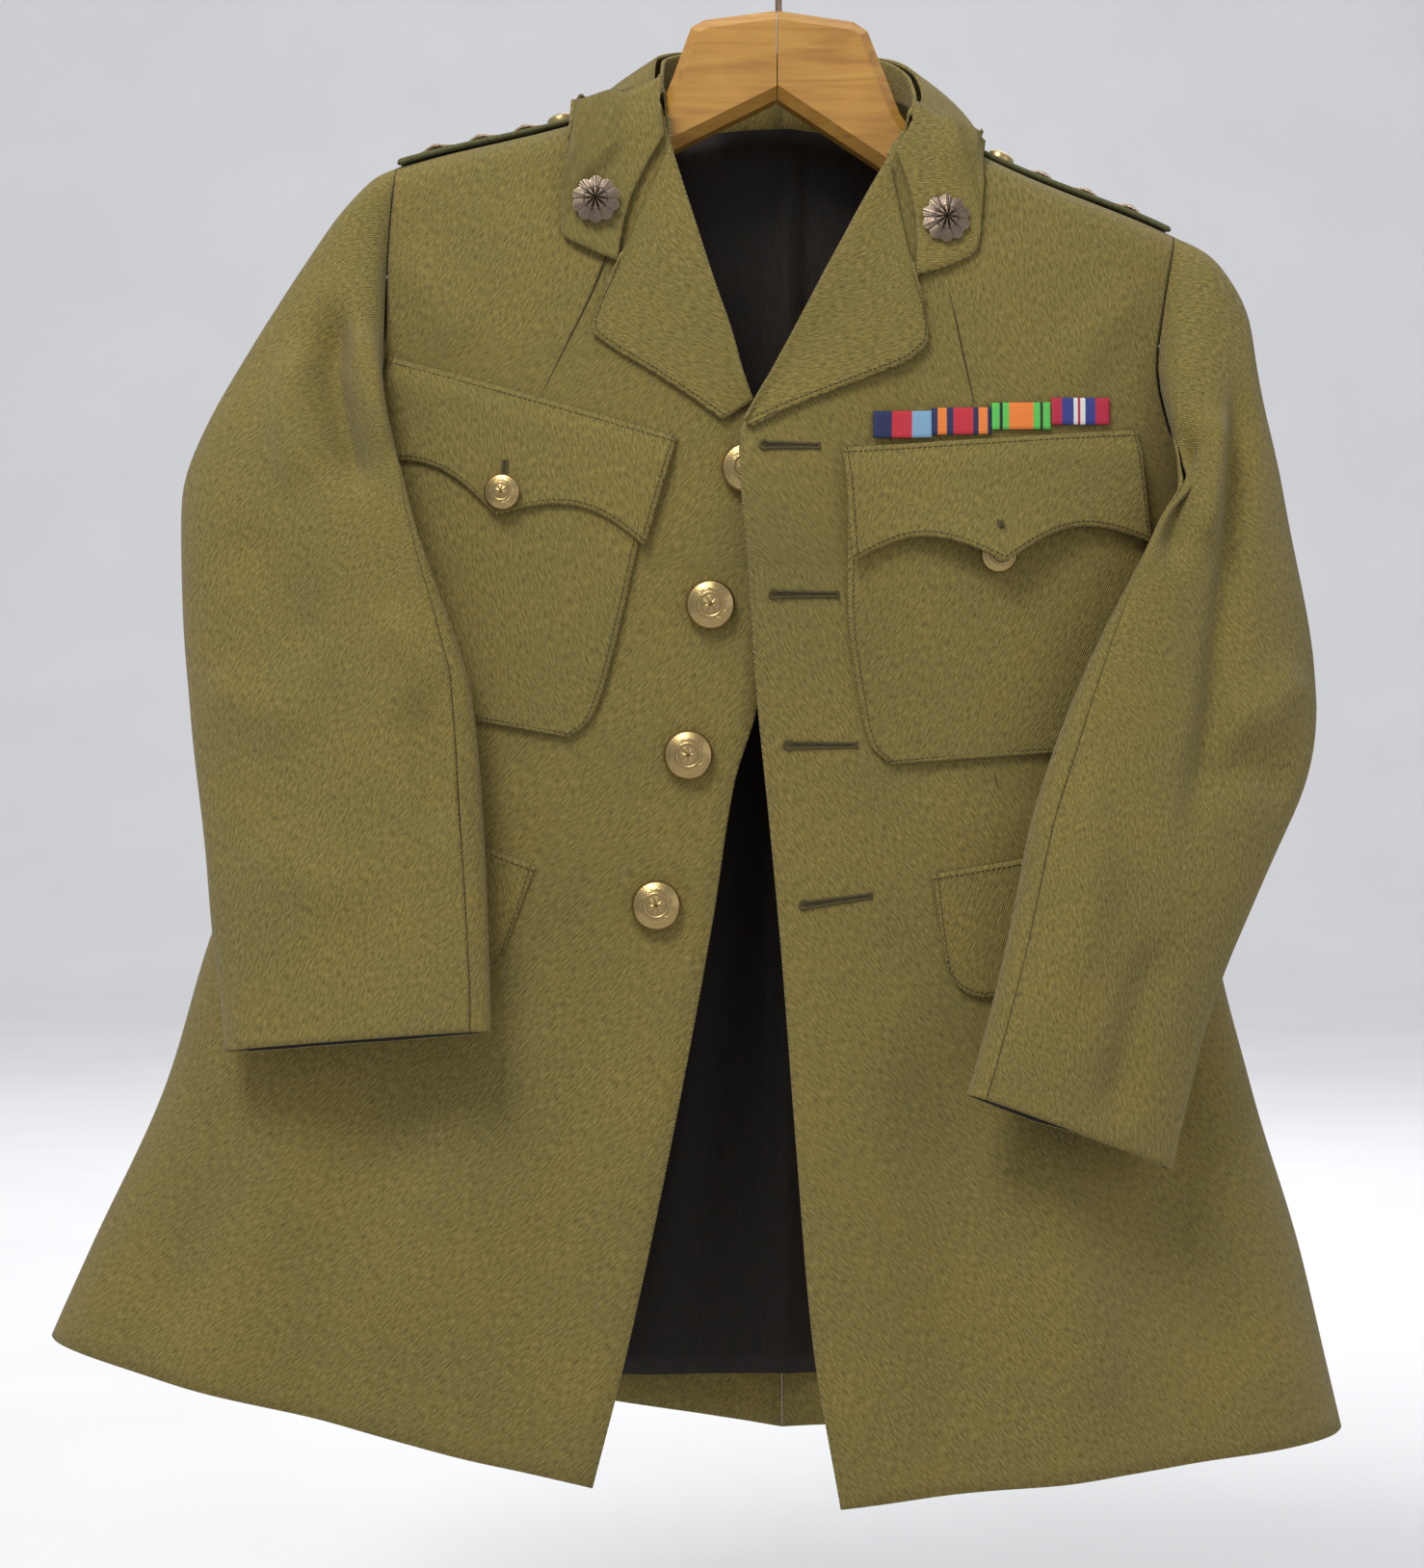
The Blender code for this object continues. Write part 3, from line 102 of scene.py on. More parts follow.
# Hem: across, height, from the left side round the front to the right side, and behind.
HEM_LEFT = np.array([(-0.400, -0.783), (-0.229, -0.819), (-0.097, -0.848), (0.0, -0.868)])
HEM_RIGHT = np.array([(-0.02, -0.866), (0.030, -0.860), (0.168, -0.847), (0.262, -0.835), (0.34, -0.831)])
HEM_BACK = np.array([(-0.40, -0.783), (-0.20, -0.822), (0.0, -0.846), (0.16, -0.842), (0.34, -0.831)])
# Soft hanging folds of the skirt: across at the hem, centre of lean, half width, depth, top.
FOLDS = np.array([
    (-0.315, 0.10, 0.028, 0.006, -0.56),
    (-0.245, 0.07, 0.030, -0.007, -0.52),
    (-0.165, 0.05, 0.026, 0.004, -0.60),
    (0.085, -0.02, 0.030, -0.004, -0.58),
    (0.150, -0.05, 0.026, 0.006, -0.55),
    (0.225, -0.09, 0.028, -0.006, -0.53),
])
# Collar, from the left gorge round the neck to the right gorge:
# roll across, depth, height, then outer edge across, depth, height.
COLLAR = np.array([
    (-0.058, -0.037, -0.150, -0.085, -0.047, -0.216),
    (-0.0595, -0.028, -0.136, -0.101, -0.044, -0.209),
    (-0.0615, -0.015, -0.122, -0.1145, -0.040, -0.200),
    (-0.0635, -0.005, -0.109, -0.115, -0.038, -0.176),
    (-0.0630, 0.008, -0.098, -0.111, -0.034, -0.154),
    (-0.054, 0.026, -0.0905, -0.105, -0.010, -0.130),
    (-0.043, 0.040, -0.0865, -0.096, 0.022, -0.124),
    (-0.024, 0.049, -0.0845, -0.062, 0.052, -0.126),
    (0.003, 0.052, -0.084, 0.003, 0.062, -0.128),
    (0.031, 0.048, -0.086, 0.070, 0.053, -0.132),
    (0.052, 0.038, -0.090, 0.103, 0.022, -0.137),
    (0.064, 0.022, -0.097, 0.107, -0.010, -0.141),
    (0.0715, 0.005, -0.108, 0.107, -0.034, -0.160),
    (0.0735, -0.010, -0.121, 0.106, -0.039, -0.182),
    (0.069, -0.022, -0.134, 0.103, -0.043, -0.209),
    (0.064, -0.031, -0.147, 0.089, -0.046, -0.218),
    (0.0575, -0.039, -0.158, 0.070, -0.049, -0.224),
])
# Lapels, from the gorge down the roll line: roll across, height, outer edge across, height.
LAPEL_LEFT = np.array([
    (-0.0575, -0.1535, -0.0845, -0.219), (-0.0505, -0.176, -0.0945, -0.240),
    (-0.042, -0.203, -0.0985, -0.252), (-0.034, -0.228, -0.089, -0.261),
    (-0.026, -0.251, -0.071, -0.272), (-0.019, -0.276, -0.048, -0.287),
    (-0.014, -0.290, -0.030, -0.300)])
LAPEL_RIGHT = np.array([
    (0.057, -0.1615, 0.0695, -0.227), (0.047, -0.178, 0.0745, -0.243),
    (0.037, -0.196, 0.0765, -0.257), (0.026, -0.216, 0.069, -0.267),
    (0.014, -0.239, 0.047, -0.277), (0.001, -0.264, 0.020, -0.288),
    (-0.0125, -0.290, -0.006, -0.299), (-0.019, -0.302, -0.0165, -0.304)])
# Sleeves, from the armhole to the cuff: outer edge across, depth, height, inner edge across,
# depth, height, front and back swell, and how much of the armhole's own shape is kept.
SLEEVE_LEFT = np.array([
    (-0.2035, 0.000, -0.159, -0.2215, -0.026, -0.274, 0.010, 0.030, 1.00),
    (-0.217, 0.000, -0.164, -0.220, -0.032, -0.287, 0.016, 0.030, 1.00),
    (-0.232, 0.000, -0.185, -0.215, -0.045, -0.303, 0.020, 0.030, 1.00),
    (-0.250, 0.000, -0.214, -0.206, -0.057, -0.325, 0.022, 0.030, 0.95),
    (-0.271, -0.004, -0.246, -0.196, -0.064, -0.345, 0.023, 0.030, 0.85),
    (-0.299, -0.010, -0.291, -0.189, -0.068, -0.363, 0.024, 0.028, 0.68),
    (-0.316, -0.018, -0.330, -0.179, -0.070, -0.386, 0.024, 0.026, 0.48),
    (-0.317, -0.026, -0.370, -0.169, -0.072, -0.408, 0.023, 0.024, 0.30),
    (-0.313, -0.033, -0.421, -0.159, -0.075, -0.436, 0.022, 0.022, 0.12),
    (-0.309, -0.040, -0.462, -0.1555, -0.078, -0.468, 0.021, 0.020, 0.03),
    (-0.303, -0.045, -0.500, -0.153, -0.082, -0.507, 0.020, 0.018, 0.0),
    (-0.297, -0.052, -0.550, -0.150, -0.087, -0.556, 0.019, 0.016, 0.0),
    (-0.291, -0.060, -0.602, -0.148, -0.093, -0.596, 0.017, 0.014, 0.0),
    (-0.288, -0.064, -0.628, -0.148, -0.096, -0.615, 0.016, 0.013, 0.0),
])
SLEEVE_RIGHT = np.array([
    (0.2105, 0.000, -0.196, 0.216, -0.023, -0.321, 0.010, 0.030, 1.00),
    (0.220, 0.000, -0.200, 0.217, -0.032, -0.330, 0.015, 0.030, 1.00),
    (0.231, 0.000, -0.209, 0.214, -0.042, -0.343, 0.019, 0.030, 1.00),
    (0.240, 0.000, -0.231, 0.206, -0.052, -0.359, 0.022, 0.030, 0.95),
    (0.246, -0.002, -0.262, 0.191, -0.060, -0.376, 0.024, 0.030, 0.85),
    (0.253, -0.006, -0.293, 0.183, -0.065, -0.388, 0.025, 0.028, 0.68),
    (0.261, -0.012, -0.327, 0.174, -0.069, -0.399, 0.026, 0.026, 0.50),
    (0.273, -0.022, -0.386, 0.160, -0.073, -0.423, 0.026, 0.024, 0.28),
    (0.281, -0.028, -0.427, 0.146, -0.077, -0.455, 0.025, 0.022, 0.12),
    (0.282, -0.034, -0.464, 0.136, -0.080, -0.482, 0.024, 0.020, 0.04),
    (0.273, -0.044, -0.498, 0.126, -0.084, -0.512, 0.023, 0.019, 0.0),
    (0.250, -0.054, -0.540, 0.121, -0.087, -0.538, 0.023, 0.018, 0.0),
    (0.232, -0.060, -0.580, 0.114, -0.091, -0.572, 0.022, 0.017, 0.0),
    (0.216, -0.066, -0.622, 0.104, -0.096, -0.611, 0.021, 0.016, 0.0),
    (0.206, -0.070, -0.665, 0.096, -0.101, -0.638, 0.019, 0.015, 0.0),
    (0.200, -0.072, -0.688, 0.093, -0.103, -0.646, 0.018, 0.015, 0.0),
])
ARMHOLE_INNER_SHARE = {"left": 0.27, "right": 0.29}   # share of the armhole before the inner edge
# Long fold down the right sleeve: ring, angle from the outer edge in degrees, depth.
SLEEVE_FOLD = np.array([(3, 60, 0.003), (6, 92, 0.009), (9, 95, 0.012), (12, 80, 0.011), (15, 68, 0.008)])
FRONT_SEAM, HIND_SEAM = math.radians(150), math.radians(325)

# Chest flaps: inner top corner, outer top corner, depth at the tips and at the point.
CHEST_FLAPS = {"left": ((-0.0535, -0.3085), (-0.205, -0.264)), "right": ((0.031, -0.3145), (0.187, -0.303))}
FLAP_TIP, FLAP_POINT, FLAP_SCALLOP = 0.060, 0.066, 0.013
# Patch pockets: height and across of the inner edge, then of the outer edge, top to bottom.
PATCHES = {
    "left": np.array([(-0.0645, -0.318, -0.197, -0.280), (-0.0775, -0.381, -0.208, -0.338),
                      (-0.0925, -0.441, -0.218, -0.404), (-0.099, -0.456, -0.220, -0.434),
                      (-0.110, -0.465, -0.217, -0.446)]),
    "right": np.array([(0.0345, -0.324, 0.182, -0.313), (0.034, -0.390, 0.192, -0.375),
                       (0.0395, -0.441, 0.194, -0.430), (0.046, -0.469, 0.192, -0.459),
                       (0.057, -0.479, 0.183, -0.470)]),
}
# Hip flaps: inner top corner, outer top corner, depth.
HIP_FLAPS = {"left": ((-0.127, -0.532), (-0.246, -0.4865)), "right": ((0.078, -0.536), (0.213, -0.5135))}
HIP_FLAP_DEPTH = 0.068
FRONT_BUTTONS = ((-0.018, -0.325), (-0.0365, -0.396), (-0.048, -0.474), (-0.0645, -0.552))
CHEST_BUTTONS = {"left": (-0.1435, -0.338), "right": (0.1125, -0.370)}
BADGES = {"left": (-0.096, -0.185), "right": (0.086, -0.1945)}
RIBBONS = ((0.0475, -0.3095), (0.0785, -0.3075), (0.1097, -0.3045), (0.141, -0.3015))
RIBBON_SIZE = (0.0315, 0.0142)
RIBBON_WALL = 0.0012
BADGE_LIFT = {"left": 0.0068, "right": 0.0047}
STRAP_BUTTONS = {"left": -0.1165, "right": 0.1185}
STRAP_TILT = {"left": -0.28, "right": 0.46}   # slope of each shoulder
PIPS = {"left": (-0.136, -0.160, -0.184), "right": (0.141, 0.165, 0.188)}
STRAP_HALF_WIDTH = 0.0215
STRAP_WALL = 0.003


# ---- reading the tables -------------------------------------------------------------
def read(table, at):
    """Row of a table at a value of its first column, along smooth curves through its rows."""
    keys = table[:, 0]
    if keys[0] > keys[-1]:
        table, keys = table[::-1], keys[::-1]
    at = min(max(at, keys[0]), keys[-1])
    i = int(min(max(np.searchsorted(keys, at) - 1, 0), len(keys) - 2))
    step = keys[i + 1] - keys[i]
    t = (at - keys[i]) / step
    chord = (table[i + 1, 1:] - table[i, 1:]) / step
    before = chord if i == 0 else (table[i, 1:] - table[i - 1, 1:]) / (keys[i] - keys[i - 1])
    last = i + 2 >= len(keys)
    after = chord if last else (table[i + 2, 1:] - table[i + 1, 1:]) / (keys[i + 2] - keys[i + 1])
    start, end = limited_mean(before, chord), limited_mean(chord, after)
    rise = (3 * t * t - 2 * t ** 3) * (table[i + 1, 1:] - table[i, 1:])
    return table[i, 1:] + rise + step * (start * (t - 2 * t * t + t ** 3) + end * (t ** 3 - t * t))


def limited_mean(a, b):
    """Slope between two chords that never overshoots them."""
    same = a * b > 0
    safe = np.where(same, a + b, 1.0)
    return np.where(same, 2 * a * b / safe, 0.0)


def rows_of(table, count):
    """A table's columns read at evenly spread rows."""
    keyed = np.column_stack((np.arange(len(table)), table))
    return np.array([read(keyed, k) for k in np.linspace(0, len(table) - 1, count)])


def ease(t):
    """Smooth step from 0 to 1."""
    t = min(max(t, 0.0), 1.0)
    return t * t * (3 - 2 * t)


# ---- body form ----------------------------------------------------------------------
def ridge(x):
    return float(read(RIDGE, x)[0])


def shoulder_roll(x, z):
    """0 on the ridge of the shoulder, 1 where the front has turned fully down."""
    t = min(max((ridge(x) - z) / ROLL_DROP, 0.0), 1.0)
    return (1 - (1 - t) ** ROLL_POWER) ** (1 / ROLL_POWER)


def skirt_fold(x, z):
    """Outward reach of the soft hanging folds of the skirt."""
    total = 0.0
    for foot, lean, half, depth, top in FOLDS:
        centre = foot + lean * (z + 0.85) / 0.30 * 0.5
        fade = ease((top - z) / 0.22)
        total += depth * fade * math.exp(-((x - centre) / half) ** 2)
    return total


def body_swell(x, z):
    """Middle, half width on this side and swell of the level section at a place."""
    middle, left, right, front, back = read(BODY, z)
    half = left if x < middle else right
    share = min(abs((x - middle) / half), 1.0)
    return middle, half, (1 - share ** POWER) ** (1 / POWER), front, back


def front_depth(x, z):
    _, _, swell, front, _ = body_swell(x, z)
    return -front * swell * shoulder_roll(x, z) - skirt_fold(x, z) * swell


def back_depth(x, z):
    _, _, swell, _, back = body_swell(x, z)
    return back * swell * shoulder_roll(x, z) + 0.6 * skirt_fold(-x, z) * swell


def overlap_lift(x, z):
    """How far the right front stands off near its free edge."""
    away = (x - float(read(EDGE_RIGHT, z)[0])) / LIFT_REACH
    return float(read(OVERLAP_LIFT, z)[0]) * (1 - ease(away))


def front_point(side, x, z, out=0.0):
    """Point of a front's outer face, moved out along the face's normal."""
    def depth(px, pz):
        return front_depth(px, pz) - (overlap_lift(px, pz) if side == "right" else 0.0)
    if out == 0.0:
        return np.array((x, depth(x, z), z))
    step = 0.002
    slope_x = (depth(x + step, z) - depth(x - step, z)) / (2 * step)
    slope_z = (depth(x, z + step) - depth(x, z - step)) / (2 * step)
    normal = np.array((max(min(slope_x, 1.5), -1.5), -1.0, max(min(slope_z, 1.5), -1.5)))
    return np.array((x, depth(x, z), z)) + normal / np.linalg.norm(normal) * out


def level_angle(x, z):
    """Angle of a place on its level section, 0 at the right side and pi at the left."""
    middle, half, _, _, _ = body_swell(x, z)
    share = min(max((x - middle) / half, -1.0), 1.0)
    return math.acos(math.copysign(abs(share) ** (POWER / 2), share))


def level_across(angle, z):
    middle, left, right, _, _ = read(BODY, z)
    c = math.cos(angle)
    half = left if c < 0 else right
    return middle + half * math.copysign(abs(c) ** (2 / POWER), c)


# ---- grids of the panels
def grid_normals(grid):
    down, across = np.gradient(grid, axis=0), np.gradient(grid, axis=1)
    normals = np.cross(down, across)
    return normals / np.maximum(np.linalg.norm(normals, axis=2, keepdims=True), 1e-9)


def front_frame(side, x, z, out):
    point = front_point(side, x, z, out)
    normal = front_point(side, x, z, out + 0.001) - point
    return point, normal / np.linalg.norm(normal)


def armhole_across(side, z):
    table = ARMHOLE_LEFT if side == "left" else ARMHOLE_RIGHT
    if z <= table[-1, 0]:
        return None
    return float(read(table, z)[0])


def armpit_height(side):
    return float((ARMHOLE_LEFT if side == "left" else ARMHOLE_RIGHT)[-1, 0])


def outer_angle(side, z, gap):
    """Level-section angle of a panel's outer border: armhole above, side seam below."""
    across = armhole_across(side, z)
    if across is not None:
        inset = SEAM if side == "left" else -SEAM
        return level_angle(across + inset, z)
    return math.pi - gap if side == "left" else gap


def front_grid(side, rows=22, columns=10, out=0.0):
    edge = EDGE_LEFT if side == "left" else EDGE_RIGHT
    hem = HEM_LEFT if side == "left" else HEM_RIGHT
    ridge_outer = SHOULDER_LEFT if side == "left" else SHOULDER_RIGHT
    ridge_inner = NECK_LEFT if side == "left" else NECK_RIGHT
    yoke_rows = rows * 10 // 22
    armpit = armpit_height(side)
    grid = []
    for r in range(rows + 1):
        if r <= yoke_rows:
            t = (r / yoke_rows) ** 1.4
            outer_z = ridge(ridge_outer) + (armpit - ridge(ridge_outer)) * t
            inner_z = ridge(ridge_inner) + (armpit - ridge(ridge_inner)) * t
        else:
            t = (r - yoke_rows) / (rows - yoke_rows)
            side_x = level_across(math.pi if side == "left" else 0.0, -0.80)
            outer_z = armpit + (float(read(hem, side_x)[0]) - armpit) * t
            inner_z = armpit + (float(edge[-1, 0]) - armpit) * t
        start = outer_angle(side, outer_z, SIDE_ANGLE)
        end = level_angle(float(read(edge, inner_z)[0]), inner_z)
        outer_x, inner_x = level_across(start, outer_z), level_across(end, inner_z)
        line = []
        for c in range(columns + 1):
            angle = start + (end - start) * c / columns
            z = outer_z
            for _ in range(3):
                x = level_across(angle, z)
                share = min(max((x - outer_x) / (inner_x - outer_x), 0.0), 1.0)
                z = outer_z + (inner_z - outer_z) * share
                if r < yoke_rows:
                    drop = (ridge(outer_x) - outer_z) * (1 - share) + (ridge(inner_x) - inner_z) * share
                    z += (ridge(x) - drop - z) * (1 - ease(r / yoke_rows))
            line.append(front_point(side, x, z, out))
        grid.append(line)
    grid = np.array(grid)
    grid[0, :, 1] = np.minimum(grid[0, :, 1], 0.0) - SEAM / 2
    return grid


def back_grid(side, rows=14, columns=8, out=0.0):
    hem_side = level_across(math.pi if side == "left" else 0.0, -0.80)
    ridge_outer = SHOULDER_LEFT if side == "left" else SHOULDER_RIGHT
    ridge_inner = NECK_LEFT if side == "left" else NECK_RIGHT
    centre = 0.003
    yoke_rows = rows * 6 // 14
    armpit = armpit_height(side)
    grid = []
    for r in range(rows + 1):
        t = (r / yoke_rows) ** 1.7 if r <= yoke_rows else (r - yoke_rows) / (rows - yoke_rows)
        if r <= yoke_rows:
            outer_z = ridge(ridge_outer) + (armpit - ridge(ridge_outer)) * t
            inner_z = NECK_BACK + (armpit - NECK_BACK) * t
        else:
            outer_z = armpit + (float(read(HEM_BACK, hem_side)[0]) - armpit) * t
            inner_z = armpit + (float(read(HEM_BACK, centre)[0]) - armpit) * t
        start = outer_angle(side, outer_z, SIDE_ANGLE)
        gap = SEAM / 2 if side == "right" else -SEAM / 2
        end = level_angle(centre + gap, inner_z)
        outer_x, inner_x = level_across(start, outer_z), level_across(end, inner_z)
        line = []
        for c in range(columns + 1):
            angle = start + (end - start) * c / columns
            z = outer_z
            for _ in range(3):
                x = level_across(angle, z)
                share = min(max((x - outer_x) / (inner_x - outer_x), 0.0), 1.0)
                z = outer_z + (inner_z - outer_z) * share
                if r < yoke_rows:
                    top = back_top(x, ridge_inner) - ((1 - share) * (ridge(outer_x) - outer_z)
                                                      + share * (NECK_BACK - inner_z))
                    z += (top - z) * (1 - ease(r / yoke_rows))
            line.append((x, back_depth(x, z) + out, z))
        grid.append(line)
    grid = np.array(grid)
    grid[0, :, 1] = np.maximum(grid[0, :, 1], SEAM / 2)
    return grid


def back_top(x, neck):
    """Upper border of the back: the shoulder ridge outside the neck, the neck seam inside it."""
    share = x / neck
    if share >= 1.0:
        return ridge(x)
    return NECK_BACK + (ridge(neck) - NECK_BACK) * max(share, 0.0) ** 2


def neck_outward(x, y):
    away = np.array((x - 0.003, y + 0.004, 0.0))
    return away / np.linalg.norm(away)


def stand_height(t):
    return 0.0025 + 0.0255 * math.sin(math.pi * t) ** 1.3


def clear_of_shoulder(point, clearance):
    """Move a point out of the body form's upper part by a clearance."""
    x, y, z = point
    if z > ridge(x) + clearance:
        return point
    side = "left" if x < 0 else "right"
    if y <= 0.002:
        lifted = front_point(side, x, min(z, ridge(x) - 0.004), clearance)
        depth = min(y, lifted[1])
        if z > ridge(x) - 0.010:
            z = max(z, ridge(x) + clearance)
        return np.array((x, depth, z))
    depth = max(y, back_depth(x, min(z, ridge(x) - 0.004)) + clearance)
    if z > ridge(x) - 0.010 and abs(x) > 0.07:
        z = max(z, ridge(x) + clearance)
    return np.array((x, depth, z))


def armhole_ring(side, shares):
    """Points round an armhole seam, from the ridge down the front and up the back."""
    table = ARMHOLE_LEFT if side == "left" else ARMHOLE_RIGHT
    heights = np.concatenate((np.linspace(0, 0.06, 7)[:-1], np.linspace(0.06, 1, 18)))
    dense = []
    for t in heights:
        z = table[0, 0] + (table[-1, 0] - table[0, 0]) * t
        dense.append((float(read(table, z)[0]), z))
    gap = -ARMHOLE_GAP[side] if side == "left" else ARMHOLE_GAP[side]
    path = [np.array((x + gap, front_depth(x, z), z)) for x, z in dense]
    path += [np.array((x + 1.8 * gap, back_depth(x, z), z)) for x, z in reversed(dense[:-1])]
    path = np.array(path)
    run = np.concatenate(((0,), np.cumsum(np.linalg.norm(np.diff(path, axis=0), axis=1))))
    wanted = np.asarray(shares) * run[-1]
    return np.column_stack([np.interp(wanted, run, path[:, k]) for k in range(3)])


def ring_axes(table, k):
    """Centre, half-width vector and forward direction of a sleeve's section."""
    centres = (table[:, 0:3] + table[:, 3:6]) / 2
    ahead = centres[min(k + 1, len(table) - 1)] - centres[max(k - 1, 0)]
    half = (table[k, 3:6] - table[k, 0:3]) / 2
    forward = np.cross(half, ahead)
    forward = forward / np.linalg.norm(forward)
    if forward[1] > 0:
        forward = -forward
    return centres[k], half, forward


def fold_dip(side, ring, angle):
    if side == "left":
        return 0.0
    degrees, depth = read(SLEEVE_FOLD, ring)
    fade = ease((ring - 2) / 3)
    spread = 16.0
    valley = math.exp(-((math.degrees(angle) - degrees) / spread) ** 2)
    crest = math.exp(-((math.degrees(angle) - degrees + 38) / 24.0) ** 2)
    return fade * depth * (valley - 0.7 * crest)


def section_point(side, table, row, angle, grow=0.0):
    """Point of a sleeve's section at a fractional row and an angle from its outer edge."""
    k = min(int(row), len(table) - 2)
    t = row - k
    centre_a, half_a, forward_a = ring_axes(table, k)
    centre_b, half_b, forward_b = ring_axes(table, k + 1)
    centre, half = centre_a + (centre_b - centre_a) * t, half_a + (half_b - half_a) * t
    forward = forward_a + (forward_b - forward_a) * t
    swell = table[k, 6:8] + (table[k + 1, 6:8] - table[k, 6:8]) * t
    c, s = math.cos(angle), math.sin(angle)
    power = 2 / SLEEVE_POWER
    along_half = math.copysign(abs(c) ** power, c)
    reach = (swell[0] if s >= 0 else swell[1]) + grow
    lift = math.copysign(abs(s) ** power, s) * reach
    if s > 0:
        lift -= fold_dip(side, row, angle)
    wide = 1 + grow / np.linalg.norm(half)
    return centre - half * along_half * wide + forward * lift


def armhole_share(side, angle):
    front = ARMHOLE_INNER_SHARE[side]
    if angle <= math.pi:
        return front * angle / math.pi
    return front + (1 - front) * (angle - math.pi) / math.pi


def clear_of_body(side, point, amount):
    """Push a sleeve's point out of the body form, to lie over the pockets on it."""
    x, y, z = point
    room = SLEEVE_ROOM * amount
    hole = armhole_across(side, z)
    middle, half, _, front, back = body_swell(x, z)
    if hole is not None and abs(hole) < 0.95 * half:
        inside = ease((abs(hole) + 0.006 - abs(x)) / 0.006)
        if y < 0:
            y += (min(y, front_depth(x, z) - room) - y) * inside
        else:
            x = math.copysign(max(abs(x), abs(hole) + ARMHOLE_GAP[side] + 0.5 * room), x)
        return np.array((x, y, z))
    wide = half + room
    deep = (front if y < 0 else back) + room + abs(skirt_fold(x, z))
    filled = abs((x - middle) / wide) ** POWER + abs(y / deep) ** POWER
    if filled < 1:
        grow = max(filled, 1e-3) ** (-1 / POWER)
        grow = 1 + (grow - 1) * min(amount * 2, 1.0)
        x, y = middle + (x - middle) * grow, y * grow
    return np.array((x, y, z))


def sleeve_grid(side, first_angle, last_angle, columns, rows):
    table = SLEEVE_LEFT if side == "left" else SLEEVE_RIGHT
    step = (last_angle - first_angle) / columns
    angles = np.linspace(first_angle - step, last_angle + step, columns + 3)
    ring = armhole_ring(side, [armhole_share(side, a % (2 * math.pi)) for a in angles])
    grid = []
    for row in np.linspace(0, len(table) - 1, rows + 1):
        keep = float(np.interp(row, range(len(table)), table[:, 8]))
        line = []
        for angle, seam_point in zip(angles, ring):
            start = section_point(side, table, 0.0, angle)
            here = section_point(side, table, row, angle)
            point = here + keep * (seam_point - start)
            line.append(clear_of_body(side, point, min(row / 1.3, 1.0)))
        grid.append(line)
    return eased(np.array(grid), 14)


def eased(grid, times):
    """Grid with sharp steps eased out of it, its border and seam columns kept."""
    for _ in range(times):
        inner = (grid[:-2, 2:-2] + grid[2:, 2:-2] + grid[1:-1, 1:-3] + grid[1:-1, 3:-1]) / 4
        grid[1:-1, 2:-2] = (grid[1:-1, 2:-2] + inner) / 2
    return grid


def flap_grid(side, corners, drop, out, columns, rows, outer_limit=0.97):
    """Grid of a flap hung from a straight top line; drop gives its depth across."""
    inner, outer = (np.array(c) for c in corners)
    axis = outer - inner
    down = np.array((axis[1], -axis[0])) / np.linalg.norm(axis)
    if down[1] > 0:
        down = -down
    grid = []
    for r in range(rows + 1):
        line = []
        for c in range(columns + 1):
            s = c / columns
            x, z = inner + axis * s + down * drop(s) * r / rows
            line.append(front_point(side, x, z, out(s, r / rows)))
        grid.append(line)
    return grid


def chest_drop(s):
    tips = FLAP_TIP + (FLAP_POINT - FLAP_TIP) * (1 - abs(2 * s - 1))
    return tips - FLAP_SCALLOP * abs(math.sin(2 * math.pi * s))


def hip_drop(s):
    corner = 0.15
    if s >= corner:
        return HIP_FLAP_DEPTH
    return HIP_FLAP_DEPTH - 0.020 * (1 - math.sqrt(max(1 - (1 - s / corner) ** 2, 0.0)))


def flap_lift(side, s, t):
    """The right chest flap is unbuttoned: it stands off, most at its point."""
    if side == "left":
        return 0.0
    return 0.003 * t + 0.0085 * t * t * math.exp(-((s - 0.5) / 0.20) ** 2)


def strap_point(side, across, over, out):
    """Point over the shoulder's ridge; over runs from -1 at the front to 1 behind."""
    depth = front_depth if over < 0 else back_depth
    reach = abs(depth(across, ridge(across) - ROLL_DROP))
    y = over * STRAP_HALF_WIDTH
    share = min(abs(y) / max(reach, 1e-4), 0.97)
    drop = ROLL_DROP * (1 - (1 - share ** ROLL_POWER) ** (1 / ROLL_POWER))
    tilt = math.copysign(share ** 2, y) * 0.6
    normal = np.array((0.0, tilt, 1.0)) / math.hypot(tilt, 1.0)
    return np.array((across, y, ridge(across) - drop)) + normal * out


# ---- materials ----------------------------------------------------------------------
def nodes_of(name):
    made = bpy.data.materials.new(name)
    made.use_nodes = True
    tree = made.node_tree
    return made, tree, tree.nodes["Principled BSDF"]


def add(tree, kind, **values):
    node = tree.nodes.new(kind)
    for key, value in values.items():
        if hasattr(node, key) and key not in node.inputs:
            setattr(node, key, value)
        else:
            node.inputs[key].default_value = value
    return node


def mixed(tree, share, low, high, kind="MIX"):
    """Colour node between two colours or links."""
    node = tree.nodes.new("ShaderNodeMix")
    node.data_type = "RGBA"
    node.blend_type = kind
    for socket, value in ((node.inputs[0], share), (node.inputs[6], low), (node.inputs[7], high)):
        if hasattr(value, "is_linked"):
            tree.links.new(value, socket)
        else:
            socket.default_value = value
    return node.outputs[2]


